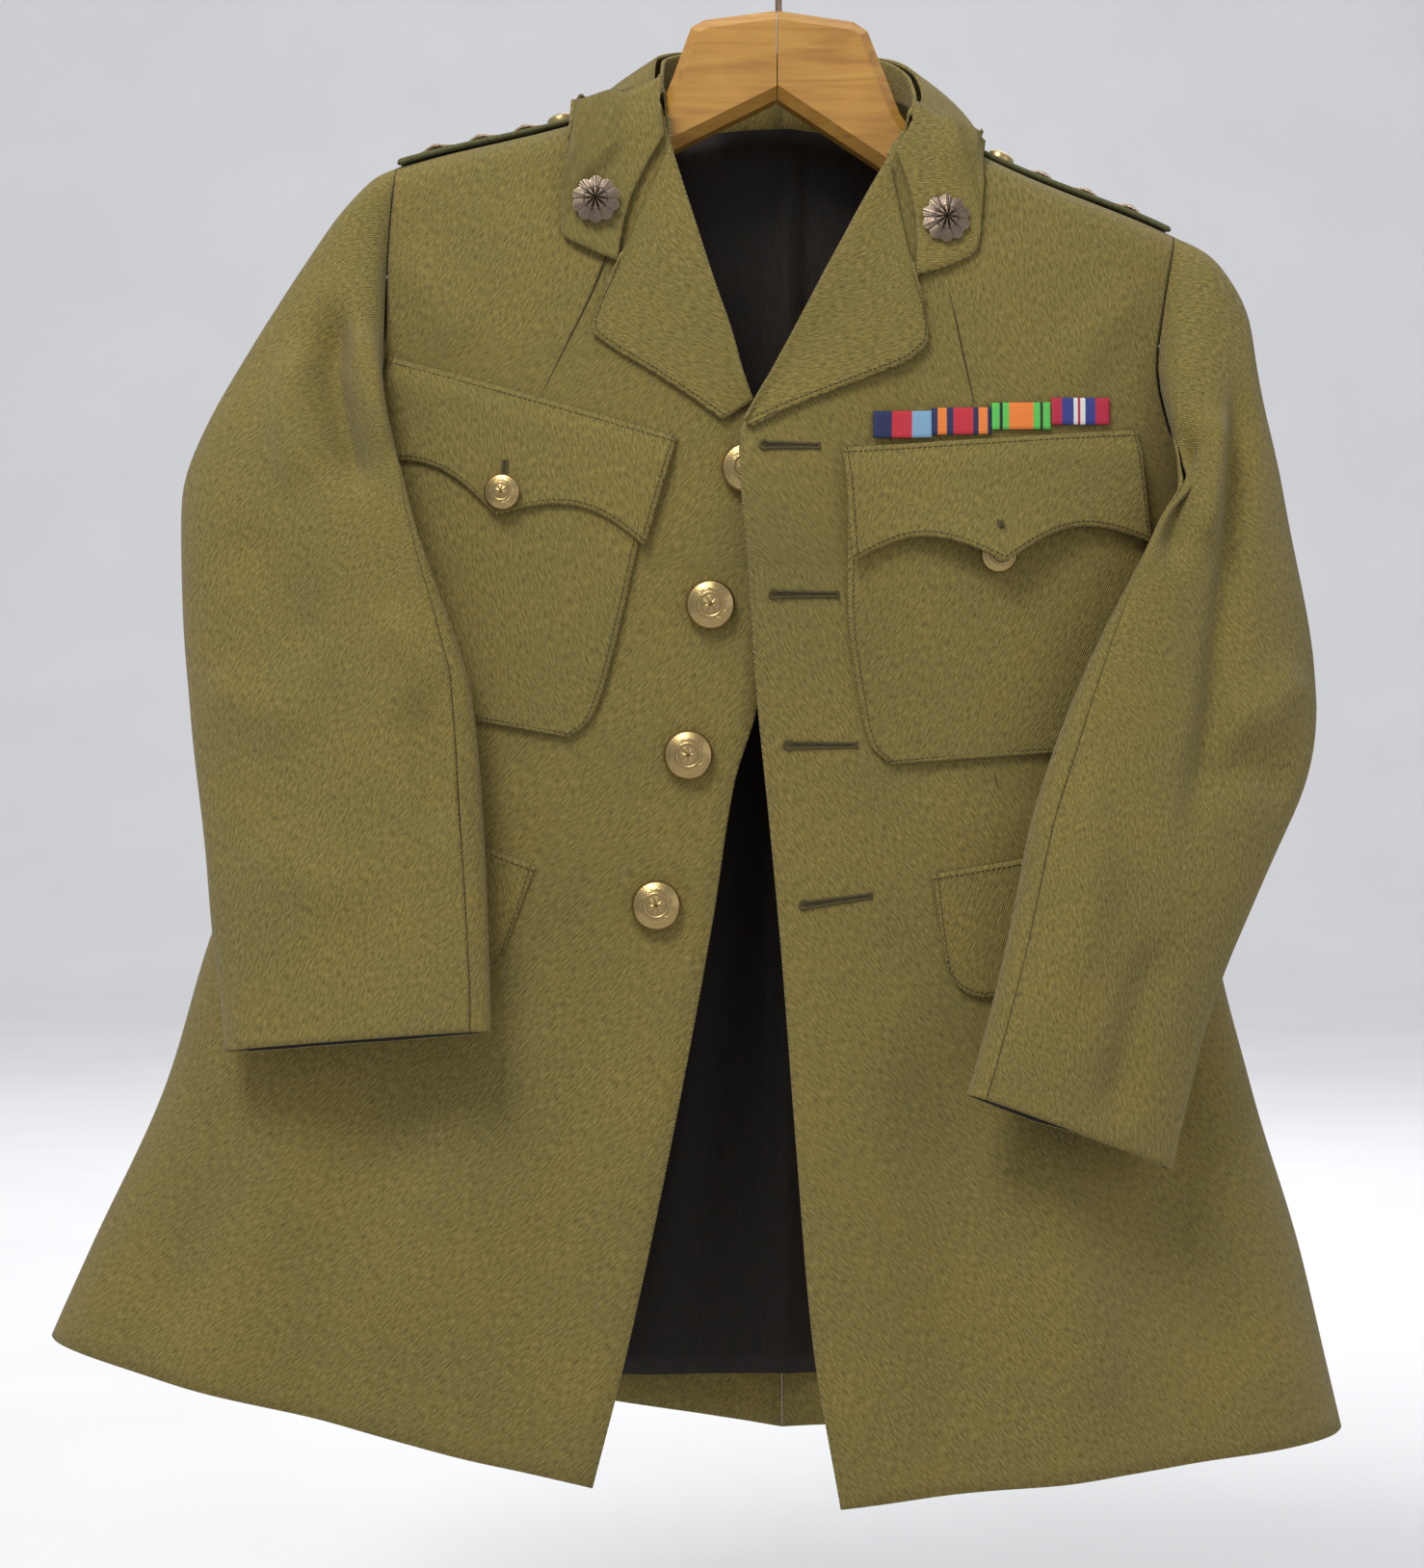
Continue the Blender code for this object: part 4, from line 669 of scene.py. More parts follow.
def ramp(tree, source, stops, constant=False):
    node = tree.nodes.new("ShaderNodeValToRGB")
    node.color_ramp.interpolation = "CONSTANT" if constant else "LINEAR"
    points = node.color_ramp.elements
    while len(points) > 1:
        points.remove(points[-1])
    points[0].position, points[0].color = stops[0][0], (*stops[0][1], 1)
    for place, colour in stops[1:]:
        points.new(place).color = (*colour, 1)
    tree.links.new(source, node.inputs[0])
    return node.outputs[0]


def grey(v):
    return (v, v, v)


def vary_roughness(tree, source, shader, low, high):
    """Let a pattern set a shader's roughness between two values."""
    tree.links.new(ramp(tree, source, ((0.2, grey(low)), (0.8, grey(high)))), shader.inputs["Roughness"])


def cloth_material(name, light, dark, tint, pitch=0.0011, lean=1.05, rough=0.92, sheen=0.10, bump=0.35):
    """Twill: fine slanting ribs, slubby streaks along them, and slow shifts of colour."""
    made, tree, shader = nodes_of(name)
    place = add(tree, "ShaderNodeUVMap", uv_map="cloth")
    slant = add(tree, "ShaderNodeMapping")
    slant.inputs["Rotation"].default_value = (0, 0, lean)
    tree.links.new(place.outputs[0], slant.inputs[0])
    streak_map = add(tree, "ShaderNodeMapping")
    streak_map.inputs["Scale"].default_value = (260, 900, 1)
    tree.links.new(slant.outputs[0], streak_map.inputs[0])
    streak = add(tree, "ShaderNodeTexNoise", Scale=1.0, Detail=3.0, Roughness=0.6)
    tree.links.new(streak_map.outputs[0], streak.inputs["Vector"])
    slow = add(tree, "ShaderNodeTexNoise", Scale=14.0, Detail=3.0, Roughness=0.55)
    tree.links.new(place.outputs[0], slow.inputs["Vector"])
    wave = add(tree, "ShaderNodeTexWave", wave_type="BANDS", bands_direction="Y")
    wave.inputs["Scale"].default_value = 0.314 / pitch
    wave.inputs["Distortion"].default_value = 0.6
    wave.inputs["Detail"].default_value = 1.0
    tree.links.new(slant.outputs[0], wave.inputs["Vector"])
    between = tuple(0.5 * (a + b) for a, b in zip(light, dark))
    fleck = ramp(tree, streak.outputs["Fac"], ((0.25, dark), (0.5, between), (0.75, light)))
    drift = ramp(tree, slow.outputs["Fac"], ((0.3, (0.84, 0.88, 0.86)), (0.7, tint)))
    colour = mixed(tree, 0.85, fleck, drift, "MULTIPLY")
    rib = ramp(tree, wave.outputs["Fac"], ((0.0, grey(0.62)), (0.6, grey(1.0))))
    colour = mixed(tree, 0.8, colour, rib, "MULTIPLY")
    tree.links.new(colour, shader.inputs["Base Color"])
    vary_roughness(tree, streak.outputs["Fac"], shader, rough - 0.08, min(rough + 0.05, 1))
    raise_by = add(tree, "ShaderNodeMath", operation="ADD")
    tree.links.new(wave.outputs["Fac"], raise_by.inputs[0])
    tree.links.new(streak.outputs["Fac"], raise_by.inputs[1])
    relief = add(tree, "ShaderNodeBump", Strength=bump, Distance=0.0004)
    tree.links.new(raise_by.outputs[0], relief.inputs["Height"])
    tree.links.new(relief.outputs[0], shader.inputs["Normal"])
    shader.inputs["Sheen Weight"].default_value = sheen
    shader.inputs["Sheen Roughness"].default_value = 0.5
    shader.inputs["Specular IOR Level"].default_value = 0.15
    return made


def lining_material():
    made, tree, shader = nodes_of("lining_satin")
    place = add(tree, "ShaderNodeUVMap", uv_map="cloth")
    stretch = add(tree, "ShaderNodeMapping")
    stretch.inputs["Scale"].default_value = (1400, 60, 1)
    tree.links.new(place.outputs[0], stretch.inputs[0])
    thread = add(tree, "ShaderNodeTexNoise", Scale=1.0, Detail=2.0)
    tree.links.new(stretch.outputs[0], thread.inputs["Vector"])
    dark, light = (0.0050, 0.0032, 0.0020), (0.016, 0.010, 0.0055)
    colour = ramp(tree, thread.outputs["Fac"], ((0.3, dark), (0.7, light)))
    tree.links.new(colour, shader.inputs["Base Color"])
    vary_roughness(tree, thread.outputs["Fac"], shader, 0.42, 0.6)
    shader.inputs["Specular IOR Level"].default_value = 0.22
    relief = add(tree, "ShaderNodeBump", Strength=0.15, Distance=0.0002)
    tree.links.new(thread.outputs["Fac"], relief.inputs["Height"])
    tree.links.new(relief.outputs[0], shader.inputs["Normal"])
    return made


def metal_material(name, light, dark, rough, patina, scale=220.0):
    """Metal worn bright on its high places and dull in its hollows."""
    made, tree, shader = nodes_of(name)
    place = add(tree, "ShaderNodeTexCoord")
    spots = add(tree, "ShaderNodeTexNoise", Scale=scale, Detail=4.0, Roughness=0.65)
    tree.links.new(place.outputs["Object"], spots.inputs["Vector"])
    shape = add(tree, "ShaderNodeNewGeometry")
    edges = ramp(tree, shape.outputs["Pointiness"], ((0.44, grey(0.0)), (0.52, grey(1.0))))
    base = mixed(tree, spots.outputs["Fac"], (*dark, 1), (*light, 1))
    colour = mixed(tree, edges, (*patina, 1), base)
    tree.links.new(colour, shader.inputs["Base Color"])
    tree.links.new(ramp(tree, spots.outputs["Fac"], ((0.25, grey(rough + 0.12)), (0.75, grey(rough - 0.08)))),
                   shader.inputs["Roughness"])
    shader.inputs["Metallic"].default_value = 1.0
    relief = add(tree, "ShaderNodeBump", Strength=0.12, Distance=0.0003)
    tree.links.new(spots.outputs["Fac"], relief.inputs["Height"])
    tree.links.new(relief.outputs[0], shader.inputs["Normal"])
    return made


def wood_material():
    """Pale amber wood: long grain, slow bands and a few small knots under old varnish."""
    made, tree, shader = nodes_of("hanger_wood")
    place = add(tree, "ShaderNodeTexCoord")
    along = add(tree, "ShaderNodeMapping")
    along.inputs["Rotation"].default_value = (0, 0.5, 0)
    along.inputs["Scale"].default_value = (14, 120, 170)
    tree.links.new(place.outputs["Object"], along.inputs[0])
    grain = add(tree, "ShaderNodeTexNoise", Scale=1.0, Detail=6.0, Roughness=0.6, Distortion=0.7)
    tree.links.new(along.outputs[0], grain.inputs["Vector"])
    bands = add(tree, "ShaderNodeTexNoise", Scale=22.0, Detail=3.0)
    tree.links.new(place.outputs["Object"], bands.inputs["Vector"])
    knots = add(tree, "ShaderNodeTexVoronoi", Scale=38.0, Randomness=1.0)
    tree.links.new(place.outputs["Object"], knots.inputs["Vector"])
    base = ramp(tree, grain.outputs["Fac"], ((0.25, (0.29, 0.125, 0.020)), (0.5, (0.43, 0.215, 0.035)),
                                            (0.8, (0.53, 0.30, 0.065))))
    shade = ramp(tree, bands.outputs["Fac"], ((0.3, (0.84, 0.80, 0.72)), (0.7, (1.05, 1.04, 1.0))))
    colour = mixed(tree, 0.9, base, shade, "MULTIPLY")
    spot = ramp(tree, knots.outputs["Distance"], ((0.03, (0.30, 0.16, 0.06)), (0.08, grey(1.0))))
    colour = mixed(tree, 0.45, colour, spot, "MULTIPLY")
    tree.links.new(colour, shader.inputs["Base Color"])
    vary_roughness(tree, grain.outputs["Fac"], shader, 0.48, 0.34)
    relief = add(tree, "ShaderNodeBump", Strength=0.12, Distance=0.0003)
    tree.links.new(grain.outputs["Fac"], relief.inputs["Height"])
    tree.links.new(relief.outputs[0], shader.inputs["Normal"])
    shader.inputs["Coat Weight"].default_value = 0.25
    shader.inputs["Coat Roughness"].default_value = 0.25
    return made


def ribbon_material(name, stripes):
    """Ribbed medal ribbon with upright stripes given as (width, colour)."""
    made, tree, shader = nodes_of(name)
    place = add(tree, "ShaderNodeUVMap", uv_map="cloth")
    split = add(tree, "ShaderNodeSeparateXYZ")
    tree.links.new(place.outputs[0], split.inputs[0])
    total = sum(width for width, _ in stripes)
    stops, run = [], 0.0
    for width, colour in stripes:
        stops.append((run / total, colour))
        run += width
    bands = ramp(tree, split.outputs["X"], stops, constant=True)
    ribs = add(tree, "ShaderNodeTexWave", wave_type="BANDS", bands_direction="Y")
    ribs.inputs["Scale"].default_value = 9.0
    ribs.inputs["Distortion"].default_value = 0.4
    tree.links.new(place.outputs[0], ribs.inputs["Vector"])
    fibre = add(tree, "ShaderNodeTexNoise", Scale=160.0, Detail=3.0)
    tree.links.new(place.outputs[0], fibre.inputs["Vector"])
    shade = ramp(tree, ribs.outputs["Fac"], ((0.0, grey(0.72)), (0.8, grey(1.0))))
    fuzz = ramp(tree, fibre.outputs["Fac"], ((0.3, grey(0.82)), (0.7, grey(1.08))))
    colour = mixed(tree, 1.0, mixed(tree, 1.0, bands, shade, "MULTIPLY"), fuzz, "MULTIPLY")
    tree.links.new(colour, shader.inputs["Base Color"])
    relief = add(tree, "ShaderNodeBump", Strength=0.4, Distance=0.0003)
    tree.links.new(ribs.outputs["Fac"], relief.inputs["Height"])
    tree.links.new(relief.outputs[0], shader.inputs["Normal"])
    vary_roughness(tree, fibre.outputs["Fac"], shader, 0.6, 0.8)
    return made


# ---- shells -------------------------------------------------------------------------
def smooth_noise(points, seed, reach):
    """Slow uneven swell over points, about -1 to 1."""
    draw = np.random.default_rng(seed)
    total = np.zeros(points.shape[:-1])
    for _ in range(7):
        way = draw.normal(size=3)
        way /= np.linalg.norm(way)
        wave = 2 * math.pi / (reach * draw.uniform(0.7, 1.6))
        total += np.sin(points @ way * wave + draw.uniform(0, 6.3))
    return total / 4.0


def crease_depth(points, creases):
    """Sum of soft ridges and troughs along (x, z) lines: points, half width, height."""
    total = np.zeros(points.shape[:-1])
    flat = points[..., [0, 2]]
    for line, half, height in creases:
        line = np.asarray(line)
        best = np.full(flat.shape[:-1], 1e9)
        share = np.zeros(flat.shape[:-1])
        run = np.concatenate(((0,), np.cumsum(np.linalg.norm(np.diff(line, axis=0), axis=1))))
        for k in range(len(line) - 1):
            a, b = line[k], line[k + 1]
            t = np.clip(((flat - a) @ (b - a)) / ((b - a) @ (b - a)), 0, 1)
            away = np.linalg.norm(flat - (a + t[..., None] * (b - a)), axis=-1)
            near = away < best
            best = np.where(near, away, best)
            share = np.where(near, (run[k] + t * (run[k + 1] - run[k])) / run[-1], share)
        fade = np.clip(np.minimum(share, 1 - share) * 4, 0, 1)
        total += height * np.exp(-(best / half) ** 2) * fade * fade * (3 - 2 * fade)
    return total


def run_length(grid, axis):
    """Length of cloth from the grid's first row (axis 0) or column (axis 1) to each of its points."""
    steps = np.linalg.norm(np.diff(grid, axis=axis), axis=2)
    start = np.zeros((1, steps.shape[1]) if axis == 0 else (steps.shape[0], 1))
    return np.concatenate((start, np.cumsum(steps, axis=axis)), axis=axis)


def facing(grid, outward):
    normals = grid_normals(grid)
    middle = normals[normals.shape[0] // 2, normals.shape[1] // 2]
    if np.dot(middle, outward) < 0:
        normals = -normals
    return normals


def shell(name, grid, outward, outer, inner=None, thickness=CLOTH, creases=(), swell=0.0, seed=1, spare=False,
          square=(), edge_soft=0.35, inner_from=0.0):
    """Closed thin shell under a grid of outer points, with rounded edges, twill UVs in metres."""
    grid = np.asarray(grid, dtype=float)
    normals = facing(grid, outward)
    lift = np.zeros(grid.shape[:2])
    if len(creases):
        lift = lift + crease_depth(grid, creases)
    if swell:
        lift = lift + swell * smooth_noise(grid, seed, 0.09)
    rows, columns = grid.shape[:2]
    down = np.minimum(np.arange(rows), 0.25 * rows + np.arange(rows)[::-1])[:, None] / (0.12 * rows)
    side = np.minimum(np.arange(columns), np.arange(columns)[::-1])[None, :] / (0.12 * columns)
    calm = np.clip(down, 0.0, 1) * np.clip(side, 0.25, 1)
    grid = grid + normals * (lift * calm)[..., None]
    normals = facing(grid, outward)
    if spare:
        grid, normals = grid[:, 1:-1], normals[:, 1:-1]
        rows, columns = grid.shape[:2]
    borders = {"top": np.s_[0, :], "bottom": np.s_[-1, :], "start": np.s_[:, 0], "end": np.s_[:, -1]}
    for border, axis in square:
        flat = normals[borders[border]].copy()
        flat[:, axis] = 0.0
        normals[borders[border]] = flat / np.maximum(np.linalg.norm(flat, axis=1, keepdims=True), 1e-9)
    u = run_length(grid, 1)
    u = u - u[:, columns // 2:columns // 2 + 1]
    v = run_length(grid, 0)
    v = np.broadcast_to(v.mean(axis=1, keepdims=True), u.shape)
    layers = [grid, grid - normals * thickness]
    middle = grid - normals * thickness * 0.5
    count = rows * columns
    border = [(0, c) for c in range(columns)] + [(r, columns - 1) for r in range(1, rows)]
    border += [(rows - 1, c) for c in range(columns - 2, -1, -1)] + [(r, 0) for r in range(rows - 2, 0, -1)]
    rim = []
    pull = thickness * edge_soft
    closed = [name for name, _ in square] + (["start", "end"] if spare else [])
    joined = {"top": lambda r, c: r == 0, "bottom": lambda r, c: r == rows - 1,
              "start": lambda r, c: c == 0, "end": lambda r, c: c == columns - 1}
    for layer in layers:
        for r, c in border:
            if any(joined[name](r, c) for name in closed):
                continue
            inward = grid[min(max(r, 1), rows - 2), min(max(c, 1), columns - 2)] - grid[r, c]
            inward = inward / max(np.linalg.norm(inward), 1e-9)
            layer[r, c] = layer[r, c] + inward * pull
    for r, c in border:
        rim.append(middle[r, c])
    vertices = np.vstack((layers[0].reshape(-1, 3), layers[1].reshape(-1, 3), np.array(rim)))
    uvs = np.vstack((np.stack((u, v), -1).reshape(-1, 2), np.stack((u, v), -1).reshape(-1, 2),
                     np.array([(u[r, c], v[r, c]) for r, c in border])))
    at = lambda r, c: r * columns + c
    faces, kinds = [], []
    for r in range(rows - 1):
        for c in range(columns - 1):
            quad = (at(r, c), at(r, c + 1), at(r + 1, c + 1), at(r + 1, c))
            faces.append(quad)
            faces.append(tuple(count + q for q in reversed(quad)))
            kinds += [0, 1 if r >= inner_from * rows else 0]
    total = len(border)
    for k in range(total):
        n = (k + 1) % total
        a, b = at(*border[k]), at(*border[n])
        ra, rb = 2 * count + k, 2 * count + n
        faces += [(b, a, ra, rb), (rb, ra, count + a, count + b)]
        kinds += [0, 0]
    mesh = bpy.data.meshes.new(name)
    mesh.from_pydata([tuple(map(float, p)) for p in vertices], [], faces)
    mesh.materials.append(outer)
    mesh.materials.append(inner or outer)
    for face, kind in zip(mesh.polygons, kinds):
        face.material_index = kind
    layer = mesh.uv_layers.new(name="cloth")
    places = np.array([v for face in mesh.polygons for v in face.vertices])
    layer.data.foreach_set("uv", uvs[places].ravel())
    shape = bmesh.new()
    shape.from_mesh(mesh)
    bmesh.ops.recalc_face_normals(shape, faces=shape.faces)
    if shape.calc_volume(signed=True) < 0:
        bmesh.ops.reverse_faces(shape, faces=shape.faces)
    shape.to_mesh(mesh)
    shape.free()
    mesh.shade_smooth()
    made = bpy.data.objects.new(name, mesh)
    bpy.context.scene.collection.objects.link(made)
    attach(made, "root")
    made["flat"] = [float(np.max(u[:, -1] - u[:, 0])), float(v.max())]
    spans = np.linalg.norm(np.cross(grid[1:, 1:] - grid[:-1, :-1], grid[1:, :-1] - grid[:-1, 1:]), axis=2)
    made["area"] = float(spans.sum() / 2)
    return made


def as_sheet(node):
    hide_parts(node)


# ---- finishes -----------------------------------------------------------------------
KHAKI = cloth_material(
    "khaki_twill", (0.330, 0.255, 0.076), (0.098, 0.078, 0.026), (1.05, 1.0, 0.88), bump=0.6)
THREAD = cloth_material(
    "khaki_thread", (0.120, 0.094, 0.036), (0.060, 0.047, 0.018), (1.0, 1.0, 0.9), 0.0006, 0.3)
SEAM_DARK = cloth_material(
    "seam_shadow", (0.085, 0.066, 0.026), (0.040, 0.031, 0.012), (1.0, 1.0, 0.9), 0.0006, 0.3)
STRAP = cloth_material(
    "strap_cord", (0.150, 0.140, 0.062), (0.075, 0.072, 0.030), (0.95, 1.0, 0.85), 0.0009, 0.6)
LINING = lining_material()
BRASS_FINISH = metal_material(
    "brass_worn", (0.52, 0.385, 0.175), (0.36, 0.255, 0.105), 0.33, (0.11, 0.075, 0.03))
BRONZE_FINISH = metal_material(
    "bronze_dull", (0.30, 0.23, 0.17), (0.15, 0.115, 0.085), 0.42, (0.045, 0.034, 0.026))
PIP_FINISH = metal_material("pip_bronze", (0.50, 0.33, 0.16), (0.28, 0.17, 0.08), 0.38, (0.08, 0.05, 0.025))
STEEL_FINISH = metal_material("hook_steel", (0.30, 0.21, 0.15), (0.16, 0.10, 0.07), 0.36, (0.10, 0.06, 0.04))
WOOD_FINISH = wood_material()

NAVY, RED, SKY = (0.010, 0.018, 0.085), (0.55, 0.018, 0.035), (0.20, 0.38, 0.55)
ORANGE, GREEN = (0.85, 0.22, 0.03), (0.10, 0.55, 0.08)
BLACK, WHITE = (0.012, 0.012, 0.014), (0.75, 0.74, 0.70)
CRIMSON, ROYAL = (0.48, 0.012, 0.045), (0.030, 0.040, 0.24)
RIBBON_STRIPES = (
    ((70, NAVY), (75, RED), (75, SKY)),
    ((20, NAVY), (33, ORANGE), (24, NAVY), (73, RED), (20, NAVY), (33, ORANGE), (15, NAVY)),
    ((30, GREEN), (12, BLACK), (25, GREEN), (96, ORANGE), (27, GREEN), (11, BLACK), (32, GREEN)),
    ((42, CRIMSON), (45, ROYAL), (17, WHITE), (10, CRIMSON), (20, WHITE), (40, ROYAL), (60, CRIMSON)))


# ---- fronts, backs and lining -------------------------------------------------------
# Creases: line of (across, height) points, half width, height.
FRONT_CREASES = {
    "left": (
        (((-0.085, -0.560), (-0.100, -0.650), (-0.118, -0.760), (-0.125, -0.840)), 0.020, -0.0056),
        (((-0.150, -0.600), (-0.175, -0.700), (-0.200, -0.800)), 0.022, 0.0049),
        (((-0.270, -0.640), (-0.300, -0.720), (-0.330, -0.790)), 0.020, -0.0049),
        (((-0.205, -0.205), (-0.180, -0.235), (-0.160, -0.262)), 0.012, 0.0025),
        (((-0.110, -0.495), (-0.150, -0.500), (-0.190, -0.480)), 0.012, 0.0021),
        (((-0.180, -0.170), (-0.140, -0.200), (-0.110, -0.250)), 0.016, 0.0017)),
    "right": (
        (((0.065, -0.600), (0.080, -0.700), (0.095, -0.835)), 0.024, -0.0049),
        (((0.130, -0.640), (0.150, -0.740), (0.165, -0.840)), 0.020, 0.0049),
        (((0.185, -0.600), (0.215, -0.700), (0.245, -0.820)), 0.022, -0.0053),
        (((0.190, -0.225), (0.165, -0.255), (0.150, -0.285)), 0.012, 0.0025),
        (((0.060, -0.500), (0.110, -0.515), (0.160, -0.500)), 0.014, 0.0021)),
}
BACK_CREASES = (
    (((-0.120, -0.560), (-0.135, -0.680), (-0.160, -0.800)), 0.026, 0.0063),
    (((0.100, -0.540), (0.120, -0.680), (0.140, -0.800)), 0.024, -0.0010),
    (((0.003, -0.200), (0.010, -0.300), (0.000, -0.400)), 0.030, -0.0010),
    (((-0.210, -0.500), (-0.235, -0.620), (-0.270, -0.760)), 0.022, -0.0010),
    (((0.190, -0.480), (0.215, -0.620), (0.245, -0.780)), 0.024, 0.0059),
    (((-0.170, -0.190), (-0.110, -0.235), (-0.030, -0.250)), 0.018, 0.0028),
    (((0.175, -0.225), (0.110, -0.260), (0.040, -0.265)), 0.018, 0.0025),
    (((-0.200, -0.410), (-0.120, -0.430), (-0.050, -0.420)), 0.014, -0.0010),
    (((0.190, -0.430), (0.110, -0.445), (0.050, -0.430)), 0.014, 0.0022))

for side in ("left", "right"):
    seam = (("top", 1), ("start", 1))
    piece = shell("cloth_front_" + side, front_grid(side, 88, 56), (0, -1, 0), KHAKI, KHAKI,
                  creases=FRONT_CREASES[side], swell=0.0010, seed=3 if side == "left" else 5, square=seam)
    as_sheet("front_" + side)
    piece = shell("cloth_back_" + side, back_grid(side, 70, 44), (0, 1, 0), KHAKI, KHAKI,
                  creases=BACK_CREASES, swell=0.0012, seed=7 if side == "left" else 9,
                  square=seam + (("end", 0),))
    as_sheet("back_" + side)


def lining_grid(rows, columns):
    lining = []
    for t in np.linspace(0, 1, rows):
        line = []
        for share in np.linspace(-0.80, 0.80, columns):
            z = -0.30 - 0.515 * t
            x = level_across(math.acos(math.copysign(abs(share) ** (POWER / 2), share)), z)
            neck = NECK_LEFT if x < 0 else NECK_RIGHT
            top = back_top(x, neck) - 0.016
            foot = max(-0.815, float(read(HEM_BACK, x)[0]) + 0.022)
            z = top + (foot - top) * t
            ripple = 0.0022 * ease(4 * t) * (math.sin(x * 52 + 1.0) + 0.6 * math.sin(x * 95 - z * 14))
            pleat = 0.0035 * math.exp(-((x - 0.006) / 0.004) ** 2)
            line.append((x, back_depth(x, z) - CLOTH - LAY - 0.0050 + min(ripple, 0.003) - pleat, z))
        lining.append(line)
    return lining


piece = shell("lining_back", lining_grid(60, 70), (0, 1, 0), LINING, LINING, thickness=0.0009)
as_sheet("back_lining")


# ---- collar and lapels --------------------------------------------------------------
def lapel_grid(side, rows, columns):
    table = LAPEL_LEFT if side == "left" else LAPEL_RIGHT
    grid = []
    for roll_x, roll_z, tip_x, tip_z in rows_of(table, rows):
        line = []
        for t in np.linspace(0, 1, columns):
            x, z = roll_x + (tip_x - roll_x) * t, roll_z + (tip_z - roll_z) * t
            lift = LAY + CLOTH + 0.0024 * math.exp(-((t / 0.22) ** 2)) + 0.0012 * t * t
            line.append(front_point(side, x, z, lift))
        grid.append(line)
    return grid


def collar_grids(count, columns):
    rows = rows_of(COLLAR, count)
    stand, fall = [], []
    for k, (rx, ry, rz, ex, ey, ez) in enumerate(rows):
        t = k / (len(rows) - 1)
        away = neck_outward(rx, ry)
        roll = np.array((rx, ry, rz))
        foot = roll + away * 0.001 - np.array((0, 0, stand_height(t) - 0.0008))
        if abs(ry) < 0.028 and abs(rx) > 0.05:
            foot[2] = max(foot[2], ridge(NECK_LEFT if rx < 0 else NECK_RIGHT) + SEAM)
        stand.append([roll * (1 - s) + foot * s for s in np.linspace(0, 1, 8)])
        edge = np.array((ex, ey, ez))
        line = []
        for s in np.linspace(0, 1, columns):
            p = roll + (edge - roll) * s + away * 0.0032 * (1 - s)
            p = p + np.array((0, 0, 0.0015)) * (1 - s) + away * 0.006 * math.sin(math.pi * s)
            over_strap = 0.0046 if abs(p[0]) > 0.086 and abs(p[1]) < 0.032 else 0.0
            line.append(clear_of_shoulder(p, LAY + CLOTH + 0.0014 + over_strap))
        fall.append(line)
    return np.array(stand), relaxed(np.array(fall), 3)


def relaxed(grid, times):
    """Grid with small steps eased out, its border kept."""
    for _ in range(times):
        inner = (grid[:-2, 1:-1] + grid[2:, 1:-1] + grid[1:-1, :-2] + grid[1:-1, 2:]) / 4
        grid = grid.copy()
        grid[1:-1, 1:-1] = 0.5 * grid[1:-1, 1:-1] + 0.5 * inner
    return grid


for side in ("left", "right"):
    piece = shell("cloth_lapel_" + side, lapel_grid(side, 34, 24), (0, -1, 0), KHAKI, swell=0.0005, seed=11)
    as_sheet("lapel_" + side)
STAND_GRID, FALL_GRID = collar_grids(110, 20)
piece = shell("cloth_collar_stand", STAND_GRID, (0, 1, 0), KHAKI, KHAKI, swell=0.0003)
as_sheet("collar_stand")
piece = shell("cloth_collar_fall", FALL_GRID, (0, 1, 0), KHAKI, KHAKI, swell=0.0005, seed=13)
as_sheet("collar_fall")

# ---- sleeves ------------------------------------------------------------------------
SLEEVE_CREASES = {
    "left": (
        (((-0.232, -0.230), (-0.236, -0.275), (-0.226, -0.315), (-0.214, -0.345)), 0.0090, -0.0133),
        (((-0.222, -0.245), (-0.210, -0.290), (-0.199, -0.325)), 0.0070, 0.0077),
        (((-0.252, -0.255), (-0.256, -0.300), (-0.248, -0.340)), 0.0110, 0.0066),
        (((-0.190, -0.440), (-0.178, -0.480), (-0.166, -0.520)), 0.0120, -0.0066),
        (((-0.205, -0.400), (-0.185, -0.425), (-0.168, -0.440)), 0.0090, 0.0048),
        (((-0.300, -0.430), (-0.270, -0.450), (-0.235, -0.455)), 0.0140, 0.0044),
        (((-0.290, -0.350), (-0.262, -0.385), (-0.240, -0.430)), 0.0160, -0.0048),
        (((-0.280, -0.520), (-0.240, -0.540), (-0.200, -0.545)), 0.0150, 0.0035)),
    "right": (
        (((0.212, -0.300), (0.206, -0.340), (0.200, -0.380)), 0.0080, -0.0099),
        (((0.226, -0.290), (0.222, -0.330), (0.215, -0.370)), 0.0080, 0.0077),
        (((0.238, -0.250), (0.240, -0.300), (0.232, -0.380), (0.222, -0.450), (0.205, -0.540)),
         0.0070, -0.0084),
        (((0.275, -0.430), (0.250, -0.452), (0.225, -0.455)), 0.0120, 0.0056),
        (((0.270, -0.490), (0.240, -0.480), (0.215, -0.490)), 0.0110, -0.0053),
        (((0.150, -0.470), (0.160, -0.530), (0.145, -0.600)), 0.0110, 0.0048),
        (((0.195, -0.560), (0.180, -0.610), (0.165, -0.670)), 0.0110, -0.0066)),
}
